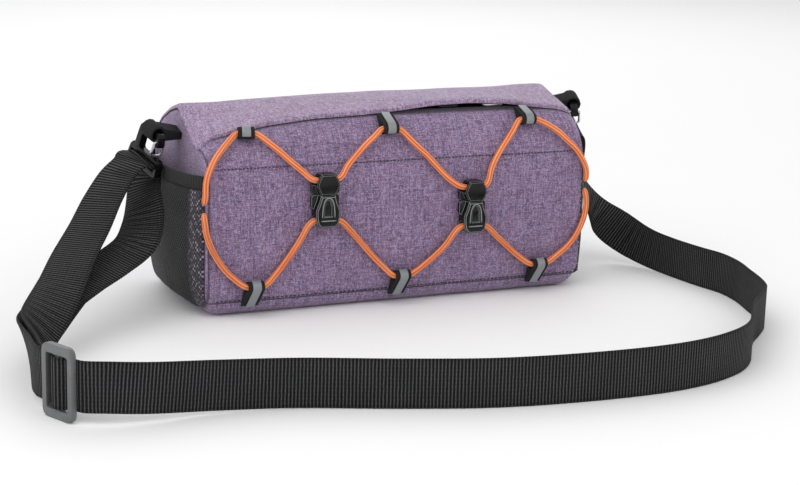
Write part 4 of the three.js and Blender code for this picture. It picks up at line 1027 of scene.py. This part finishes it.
def fill_out(shell):
    """Lets air press the slack cloth out between its seams, then keeps it near its own form."""
    mesh = shell.data
    start = np.array([v.co for v in mesh.vertices])
    normals = np.array([v.normal for v in mesh.vertices])
    held = np.array([held_by_seams(*(c / MM for c in p)) for p in start])
    slack = np.array([1.2 + 0.9 * noise.noise(Vector(p) * 28) for p in start])
    for vertex, place, normal, firm, amount in zip(mesh.vertices, start, normals, held, slack):
        vertex.co = place - normal * amount * MM * (1 - firm)
    group = shell.vertex_groups.new(name="seams")
    for index, firm in enumerate(held):
        group.add([index], firm, "REPLACE")
    cloth = shell.modifiers.new("cloth", "CLOTH")
    cloth.settings.quality = 6
    cloth.settings.mass = 0.2
    cloth.settings.tension_stiffness = 25
    cloth.settings.compression_stiffness = 25
    cloth.settings.shear_stiffness = 15
    cloth.settings.bending_stiffness = 2
    cloth.settings.use_pressure = True
    cloth.settings.uniform_pressure_force = AIR_PRESSURE
    cloth.settings.vertex_group_mass = "seams"
    cloth.settings.effector_weights.gravity = 0
    cloth.collision_settings.use_collision = False
    cloth.point_cache.frame_start = 1
    cloth.point_cache.frame_end = AIR_STEPS
    scene = bpy.context.scene
    for step in range(1, AIR_STEPS + 1):
        scene.frame_set(step)
    ready = shell.evaluated_get(bpy.context.evaluated_depsgraph_get())
    moved = np.array([v.co for v in ready.data.vertices])
    shell.modifiers.remove(cloth)
    scene.frame_set(1)
    out = np.einsum("ij,ij->i", moved - start, normals)
    out = np.clip(out, -MOST_SUNK * MM, MOST_SWOLLEN * MM)
    for vertex, place, normal, amount in zip(mesh.vertices, start, normals, out):
        vertex.co = place + normal * amount
    mesh.update()


def press_cords(shell):
    """Dents where the stretched cord lies on the cloth, grooves at the seams, and soft waves."""
    line = np.vstack([cord_line(rows, z)[::3] for rows, z in cord_routes()])
    line = line[line[:, 1] < FRONT_Y + LIP_SET_BACK]
    mesh = shell.data
    for vertex in mesh.vertices:
        x, y, z = (c / MM for c in vertex.co)
        if y > LIP_Y or abs(x) > HALF_BAG - 1:
            continue
        near = np.sqrt(((line - (x, y, z)) ** 2).sum(axis=1).min())
        dent = CORD_DENT * fade(near, CORD_DENT_REACH)
        wave = 0.35 * noise.noise(Vector((x, y, z)) * 0.03)
        groove = 0.5 * fade(z - BOTTOM_SEAM_Z, GROOVE_REACH)
        groove += 0.3 * fade(z - STITCH_HEIGHT, GROOVE_REACH)
        vertex.co -= vertex.normal * (dent + wave + groove) * MM
    mesh.update()


def open_mouth(shell):
    """Takes out the cloth under the flap, where the zip opens the bag."""
    choose_only(shell)
    bpy.ops.object.mode_set(mode="EDIT")
    bpy.ops.mesh.select_mode(type="FACE")
    bpy.ops.mesh.select_all(action="DESELECT")
    bpy.ops.object.mode_set(mode="OBJECT")
    for polygon in shell.data.polygons:
        x, y, z = (c / MM for c in polygon.center)
        between = LIP_Y + MOUTH_FRONT < y < BACK_SEAM_Y - MOUTH_BACK
        inside = abs(x) < HALF_BAG - MOUTH_END and between and z > STITCH_HEIGHT
        polygon.select = inside and polygon.normal.z > 0.5
    bpy.ops.object.mode_set(mode="EDIT")
    bpy.ops.mesh.delete(type="FACE")
    bpy.ops.object.mode_set(mode="OBJECT")


def top_flap(material):
    """The flap over the zip: one padded panel with a turned edge."""
    corner = HALF_BAG - PANEL_SEAM
    end = HALF_BAG - FLAP_EDGE
    hem = LIP_Y - FLAP_OVERHANG
    xs = np.concatenate([[-HALF_BAG, -end], np.linspace(-corner, corner, 63), [end, HALF_BAG]])
    ys = np.concatenate([[hem, hem + 0.8], np.linspace(LIP_Y, BACK_SEAM_Y, 26)])
    outer = []
    inner = []
    for x in xs:
        at_end = np.clip((abs(x) - corner) / PANEL_SEAM, 0, 1)
        drop = FLAP_END_DROP * at_end ** 2
        narrow = 1 - FLAP_END_NARROWING * at_end
        for y in ys:
            over = max(0.0, (LIP_Y - y) / FLAP_OVERHANG)
            z = float(top_at(x, y) + gap_at(x, y)) - 0.5 * over ** 2
            ease = 0.35 * noise.noise(Vector((x, y, 7)) * 0.035) - 0.25 * fade(y - LIP_Y - 2.5, 1.2)
            outer.append((x, y * narrow, z + ease - drop))
            inner.append((x, y * narrow, z - FLAP_THICKNESS + 0.1))
    flap = sheet_piece("top_flap_cloth", outer, inner, len(xs), len(ys), material)
    round_edges(flap, FLAP_EDGE, 3, 50)
    smooth(flap, 60)
    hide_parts("top_flap")


def sheet_piece(name, outer, inner, rows, columns, material, maps=None):
    """A closed sheet between an outer and an inner grid of points."""
    faces = []
    under = rows * columns
    for i in range(rows - 1):
        for j in range(columns - 1):
            a = i * columns + j
            quad = (a, a + columns, a + columns + 1, a + 1)
            faces.append(quad)
            faces.append(tuple(under + k for k in quad[::-1]))
    border = [(i * columns, (i + 1) * columns) for i in range(rows - 1)]
    border += [((rows - 1) * columns + j, (rows - 1) * columns + j + 1) for j in range(columns - 1)]
    border += [((i + 1) * columns + columns - 1, i * columns + columns - 1) for i in range(rows - 2, -1, -1)]
    border += [(j + 1, j) for j in range(columns - 2, -1, -1)]
    for a, b in border:
        faces.append((b, a, under + a, under + b))
    both = maps + maps if maps else None
    piece = new_piece(name, outer + inner, faces, material, both)
    face_out(piece)
    return piece


def pocket_point(side, across, up, extra):
    """A point of a mesh pocket: across from the front (0) to the back (1), up from foot (0) to top (1)."""
    y = FRONT_Y + POCKET_SEAM_MARGIN + across * (BAG_DEPTH - POCKET_SEAM_MARGIN - POCKET_BACK_MARGIN)
    foot = POCKET_FOOT + POCKET_CORNER_LIFT * abs(2 * across - 1) ** 5
    z = foot + (POCKET_TOP - foot) * up
    swell = float(look_up(POCKET_SWELL, 1, up, POCKET_EASE)) * math.sin(math.pi * across) ** 0.6
    crease = 0.5 * math.sin(across * 34 + up * 5) * max(0, 1 - up * 3.5) * math.sin(math.pi * across)
    sag = 0.5 * noise.noise(Vector((side * 9, y * 0.06, z * 0.06)))
    bulge = POCKET_BULGE * swell + (crease + sag) * swell
    return (side * (HALF_BAG + CLEARANCE - drawn_back(FOOT_ROUNDING - z) + bulge + extra), y, z)


def mesh_pocket(side_name, material):
    """A bulging sheet of stretch mesh, gathered by the elastic at its top."""
    side = -1 if side_name == "left" else 1
    shares = (1 - np.cos(np.linspace(0, math.pi, 49))) / 2
    ups = np.concatenate([np.linspace(0, 0.2, 11), np.linspace(0.24, 1, 20)])
    outer = [pocket_point(side, a, u, POCKET_THICKNESS) for a in shares for u in ups]
    inner = [pocket_point(side, a, u, 0.25) for a in shares for u in ups]
    grid = np.array(outer).reshape(len(shares), len(ups), 3)
    wide = np.linalg.norm(np.diff(grid, axis=0), axis=2)
    tall = np.linalg.norm(np.diff(grid, axis=1), axis=2)
    girth = running(wide.mean(axis=1))
    rise = running(tall[len(shares) // 2])
    half = girth[-1] / 2
    maps = [((g - half) * MM, r * MM) for g in girth for r in rise]
    name = f"mesh_pocket_{side_name}_knit"
    pocket = sheet_piece(name, outer, inner, len(shares), len(ups), material, maps=maps)
    smooth(pocket, 60)
    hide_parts(f"mesh_pocket_{side_name}")


# Cords and their holders

def front_place(share, up):
    x = share * BAG_LENGTH
    if up <= 1:
        return x, up * STITCH_HEIGHT
    return x, STITCH_HEIGHT + (float(lip_height(x, False)) - STITCH_HEIGHT) * (up - 1)


def face_frame(x, z):
    """For a place on the front: the directions along the bag, up the cloth and out of it, and the place."""
    def at(px, pz):
        return np.array([px, float(face_y_at(px, pz)), pz])
    wide = unit(at(x + 4, z) - at(x - 4, z))
    out = unit(np.cross(wide, at(x, z + 2) - at(x, z - 2)))
    return wide, np.cross(out, wide), out, at(x, z)


def held_points(held):
    """Three points of the cord inside a loop or a buckle's tunnel."""
    first, second = held.split(" ")
    loops = {"top": TOP_LOOPS, "bottom": BOTTOM_LOOPS}.get(first)
    if loops:
        wide, up, out, foot = face_frame(*front_place(*loops[second]))
        foot = foot + out * LOOP_OFF
        dip = -CORD_DIP if first == "top" else CORD_DIP
        return [foot + wide * end * LOOP_WIDTH * 0.58 + up * abs(end) * dip for end in (-1, 0, 1)]
    x, z = front_place(*BUCKLES[first])
    y = float(face_y_at(x, z)) - CLEARANCE - BUCKLE_THICKNESS / 2
    way = 1 if second == "upper" else -1
    return [
        np.array([x + end * BUCKLE_WIDTH / 2, y, z + way * (TUNNEL_RISE + 2 * CORD_DIP * abs(end))])
        for end in (-1, 0, 1)
    ]


def cord_points(rows, end_z):
    """The points of a cord's table, with one more at each end where the cord goes into the seam."""
    points = []
    for row in rows:
        if isinstance(row, str):
            points += held_points(row)
        else:
            share, up, off = row
            out, foot = face_frame(*front_place(share, up))[2:]
            points.append(foot + out * (CLEARANCE + CORD_RADIUS + off))
    end_x = HALF_BAG + CLEARANCE + CORD_RADIUS
    points[-1][0] = end_x
    first = np.array([-end_x, FRONT_Y - 0.2, end_z])
    last = np.array([end_x, FRONT_Y + 1.0, end_z])
    return [first] + points + [last]


def cord_routes():
    middle = STITCH_HEIGHT * 0.75
    return [(UPPER_CORD, middle + CORD_END_LIFT / 2), (LOWER_CORD, middle - CORD_END_LIFT / 2)]


def cord_line(rows, end_z):
    """The cord's middle line, eased so that the stretched cord bends softly at its holders."""
    rough = catmull_rom(cord_points(rows, end_z), 8, 0.5)
    run = distances(rough)
    line = points_at(np.linspace(0, run[-1], int(run[-1] / CORD_STEP)), run, rough)
    for _ in range(6):
        line[1:-1] = (line[:-2] + 2 * line[1:-1] + line[2:]) / 4
    return line


def swept_round(name, line, radius, sides, material):
    """A round cord or ridge along a line, with a map of its length and turn, narrowed at its ends."""
    tangents = np.gradient(line, axis=0)
    tangents /= np.linalg.norm(tangents, axis=1)[:, None]
    across = unit(np.cross(tangents[0], (0.3, 0.2, 0.9)))
    length = distances(line)
    points = []
    maps = []
    for index, (place, ahead) in enumerate(zip(line, tangents)):
        across = square_to(ahead, across)
        other = np.cross(ahead, across)
        from_end = min(index, len(line) - 1 - index)
        size = radius * CORD_END_SIZES[min(from_end, 3)]
        for j in range(sides):
            angle = 2 * math.pi * j / sides
            points.append(place + size * (math.cos(angle) * across + math.sin(angle) * other))
            maps.append((length[index] * MM, j / sides))
    piece = new_piece(name, points, tube_faces(len(line), sides), material, maps)
    face_out(piece)
    smooth(piece, 60)
    return piece


def bungee_cords(material):
    for (rows, end_z), node in zip(cord_routes(), ("bungee_upper", "bungee_lower")):
        line = cord_line(rows, end_z)
        cord = swept_round(node + "_braid", line, CORD_RADIUS, 20, material)
        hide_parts(node)


def buckle_ridges(side, material):
    """The raised lines on a buckle's face: an arch round its hollow, and a bar below it."""
    x, z = front_place(*BUCKLES[side])
    face_y = float(face_y_at(x, z)) - CLEARANCE - BUCKLE_THICKNESS
    for name, half_line in (("arch", BUCKLE_ARCH), ("bar", BUCKLE_BAR)):
        whole = [(-across, up) for across, up in half_line] + half_line[::-1]
        line = catmull_rom([(x + across, face_y, z + up) for across, up in whole], 4, 0.5)
        swept_round(f"buckle_{name}_{side}", line, RIDGE_RADIUS, 8, material)


# Shoulder strap

def hook_frame(name):
    """A hook's directions along its slot, up and out, and its middle."""
    side, across, rise, along_slot, up = HOOKS[name]
    u = unit(np.array(along_slot))
    v = square_to(u, np.array(up))
    n = np.cross(u, v) * (-1 if name == "right" else 1)
    origin = np.array([side * (HALF_BAG + HOOK_STAND_OFF), across * BAG_DEPTH, rise * BAG_HEIGHT])
    return u, v, n, origin


def hook_point(name, x, y, z):
    u, v, n, origin = hook_frame(name)
    return origin + u * x + v * y + n * z


def table_rows(rows, hook):
    """Places on the strap and directions across it. A row without a direction stands upright."""
    floor_z = STRAP_WIDTH / 2 + FLOOR_GAP
    high = hook_frame(hook)[3][2]
    made = []
    for share, out, rise, *across in rows:
        place = np.array([share * BAG_LENGTH, out * BAG_LENGTH, floor_z + rise * high])
        made.append((place, np.array(across[0] if across else UPRIGHT, float)))
    return made


def hook_rows(name):
    bar = HOOK_SLOT_FOOT - HOOK_BAR / 2
    across = -hook_frame(name)[0]
    places = [
        (-STRAP_FAR, bar - 2.3 * HOOK_BAR),
        (-STRAP_FAR, bar),
        (-0.73 * STRAP_FAR, HOOK_SLOT_FOOT + 0.6 * STRAP_THICKNESS),
        (0, HOOK_SLOT_FOOT + HOOK_SLOT_HEIGHT / 2),
        (0.84 * STRAP_FAR, HOOK_SLOT_FOOT + STRAP_THICKNESS),
    ]
    return [(hook_point(name, 0, y, z), across) for z, y in places]


def slider_rows(rows):
    toward = unit(np.array(SLIDER_TOWARD_HOOK))
    up = np.array(UPRIGHT, float)
    out = np.cross(up, toward)
    origin = np.array([SLIDER_PLACE[0] * BAG_LENGTH, SLIDER_PLACE[1] * BAG_LENGTH, SLIDER_HEIGHT / 2])
    return [(origin + toward * a + out * b, up) for a, b in rows]


def strap_rows():
    layer = STRAP_THICKNESS
    behind = -(SLIDER_THICKNESS / 2 + CLEARANCE + layer / 2 + STRAP_SLACK)
    over = (SLIDER_THICKNESS - BAR_THINNING) / 2 + CLEARANCE + layer / 2 + STRAP_SLACK
    side = SLIDER_WIDTH / 2
    width = -hook_frame("right")[0]
    rows = [
        (hook_point("right", 0, HOOK_FOOT - 5.3 * HOOK_BAR, -STRAP_FAR), width),
        (hook_point("right", 0, HOOK_FOOT - 3 * HOOK_BAR, -STRAP_FAR), width),
    ]
    rows += hook_rows("right")
    rows.append((hook_point("right", 0, HOOK_SLOT_FOOT - HOOK_BAR, 1.46 * STRAP_FAR), width))
    rows += table_rows(STRAP_RUN, "right")
    rows += slider_rows([
        (-side - 1.7 * layer, behind - 0.5 * layer),
        (-side + 0.7 * layer, behind),
        (-side + 1.3 * SLIDER_BAR, behind + 0.3 * layer),
        (-0.6 * SLIDER_BAR, over),
        (0.6 * SLIDER_BAR, over),
        (side - 1.3 * SLIDER_BAR, behind + 0.3 * layer),
        (side - 0.7 * layer, behind),
        (side + 3.3 * layer, behind),
    ])
    rows += table_rows(STRAP_HANGING, "left")
    rows += hook_rows("left")
    rows += table_rows(STRAP_OUTER, "left")
    rows += slider_rows([
        (side + 3.3 * layer, behind - 1.5 * layer),
        (side - 0.7 * layer, behind - 1.5 * layer),
        (1.4 * SLIDER_BAR, -over - 0.4 * layer),
        (-0.4 * SLIDER_BAR, -over),
    ])
    return rows


def ease_turn(middle, widths):
    """Eases the strap's twist at its left turn, between the slider and the slope to the hook."""
    x = middle[:, 0] / BAG_LENGTH
    y = middle[:, 1] / BAG_LENGTH
    here = ((x < TURN_RIGHT) & (y > TURN_FRONT) & (y < TURN_BACK))[1:-1, None]
    for _ in range(40):
        for line in (middle, widths):
            eased = (line[:-2] + 2 * line[1:-1] + line[2:]) / 4
            line[1:-1] = np.where(here, eased, line[1:-1])


def shoulder_strap(material):
    """One ribbed webbing from hook to hook, with rounded selvages."""
    rows = strap_rows()
    middle = catmull_rom([place for place, width in rows], 8, 0.5)
    widths = catmull_rom([width for place, width in rows], 8, 0.0)
    ease_turn(middle, widths)
    half = STRAP_WIDTH / 2
    thick = STRAP_THICKNESS / 2
    edge = half - SELVAGE_WIDTH
    side = thick - SELVAGE_HEIGHT
    section = [
        (-edge, -thick), (edge, -thick), (half, -side), (half, side),
        (edge, thick), (-edge, thick), (-half, side), (-half, -side),
    ]
    points = []
    maps = []
    for place, width, ahead, distance in zip(middle, widths, np.gradient(middle, axis=0), distances(middle)):
        ahead = unit(ahead)
        width = square_to(ahead, width)
        out = np.cross(ahead, width)
        for across, off in section:
            points.append(place + width * across + out * off)
            maps.append((distance * MM, across * MM))
    faces = tube_faces(len(middle), len(section))
    strap = new_piece("shoulder_strap_webbing", points, faces, material, maps)
    face_out(strap)
    smooth(strap, 50)
    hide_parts("shoulder_strap")


# Stitching

def stitch_run(name, line, outs, pitch, length, material):
    """A run of small stitches, each a low rounded bar lying on the cloth."""
    line = np.array(line, float)
    outs = np.array(outs, float)
    run = distances(line)
    points = []
    faces = []
    for index in range(int(run[-1] // pitch)):
        middle = (index + 0.5) * pitch
        start, end = points_at([middle - length / 2, middle + length / 2], run, line)
        ahead = unit(end - start)
        out = square_to(ahead, points_at([middle], run, outs)[0])
        across = np.cross(ahead, out)
        first = len(points)
        for share, size in STITCH_SHAPE:
            place = start + (end - start) * share
            for corner in range(6):
                turn = corner * math.pi / 3
                spoke = math.cos(turn) * across + 0.8 * math.sin(turn) * out
                points.append(place + STITCH_WIDTH / 2 * size * spoke)
        faces += [tuple(first + corner for corner in face) for face in tube_faces(len(STITCH_SHAPE), 6)]
    piece = new_piece(name, points, faces, material)
    face_out(piece)
    smooth(piece, 60)


def front_stitching(thread):
    """The dotted lines across the front: one under the slope, one at the foot."""
    xs = np.linspace(-HALF_BAG + 5, HALF_BAG - 3, 60)
    for name, z, off, pitch, length in STITCH_ROWS:
        if z < BOTTOM_RADIUS:
            lean = math.sqrt(BOTTOM_RADIUS ** 2 - (BOTTOM_RADIUS - z) ** 2)
            line = [(x, FRONT_Y + BOTTOM_RADIUS - lean - off, z) for x in xs]
            outs = [(0, -lean / BOTTOM_RADIUS, (z - BOTTOM_RADIUS) / BOTTOM_RADIUS) for x in xs]
        else:
            frames = [face_frame(x, z)[2:] for x in xs]
            line = [foot + out * off for out, foot in frames]
            outs = [out for out, foot in frames]
        stitch_run(name, line, outs, pitch, length, thread)


# The whole bag

make_camera()
make_studio()

cloth = heather_cloth("heather cloth", tone(75, 59, 85), tone(120, 100, 129), tone(170, 150, 183), True)
# The flap takes the same heather cloth as the body, painted lighter: painted light on the bag's top
lit_flap_cloth = heather_cloth(
    "heather flap cloth painted lighter", tone(94, 76, 102), tone(146, 124, 152), tone(192, 172, 200), False,
)
tape_weave = plain_weave()
elastic = ribbed_elastic()
mesh_cloth = knitted_mesh()
tape_grey = reflective_tape()
black_plastic = moulded_plastic("black plastic", tone(10, 10, 11), tone(26, 26, 28), 0.24, 0.02, 0.3)
# Pale plastic for the buckles' rounded edges and raised lines: a painted highlight along them
edge_highlight_plastic = moulded_plastic("plastic painted edge highlight", tone(128, 130, 130), tone(168, 170, 170), 0.3, 0.02)
slider_plastic = moulded_plastic("satin plastic", tone(96, 97, 98), tone(130, 131, 132), 0.35, 0.05)
# Pale plastic for the slider's rounded edges: a painted highlight along them
slider_edge_highlight = moulded_plastic("satin plastic painted edge highlight", tone(150, 151, 152), tone(184, 185, 186), 0.35, 0.03)
steel = drawn_steel()
fuzzy_tape = hook_and_loop()

bungee_cords(braided_cord())
shoulder_strap(webbing())
bag_shell(cloth)
top_flap(lit_flap_cloth)
for side in ("left", "right"):
    binding = dress(f"pocket_binding_{side}", "elastic", elastic, edge=0.5)
    mesh_pocket(side, mesh_cloth)
    dress(f"end_tab_{side}", "webbing", tape_weave)
    dress(f"snap_hook_{side}", "plastic", black_plastic, edge=0.8, segments=3)
    dress(f"wire_gate_{side}", "steel", steel, body=f"gate_{side}", edge=0)
    dress(f"handlebar_strap_{side}", "tape", fuzzy_tape, edge=0.4)
    for row in ("upper", "lower"):
        dress(f"buckle_{row}_{side}", "plastic", black_plastic, edge=0.6, edge_highlight=edge_highlight_plastic)
    # The raised lines on the buckles' faces, in the pale plastic as a painted highlight along the relief
    buckle_ridges(side, edge_highlight_plastic)
for row in ("top", "bottom"):
    for side in ("left", "middle", "right"):
        dress(f"cord_loop_{row}_{side}", "webbing", tape_weave, edge=0.25)
        dress(f"loop_strip_{row}_{side}", "tape", tape_grey, edge=0.12)
dress("zip_tape", "weave", tape_weave, edge=0)
dress("zip_slider_left", "metal", black_plastic, edge=0.25)
dress("zip_slider_right", "metal", steel, edge=0.25)
dress("strap_slider", "plastic", slider_plastic, edge=0.8, segments=3, edge_highlight=slider_edge_highlight)
front_stitching(sewing_thread("dark thread", tone(26, 18, 32), tone(52, 40, 60)))

bpy.ops.mesh.primitive_plane_add(size=8, location=(0, 0, 0))
floor = bpy.context.active_object
floor.name = "floor"
floor.data.materials.append(pale_floor())
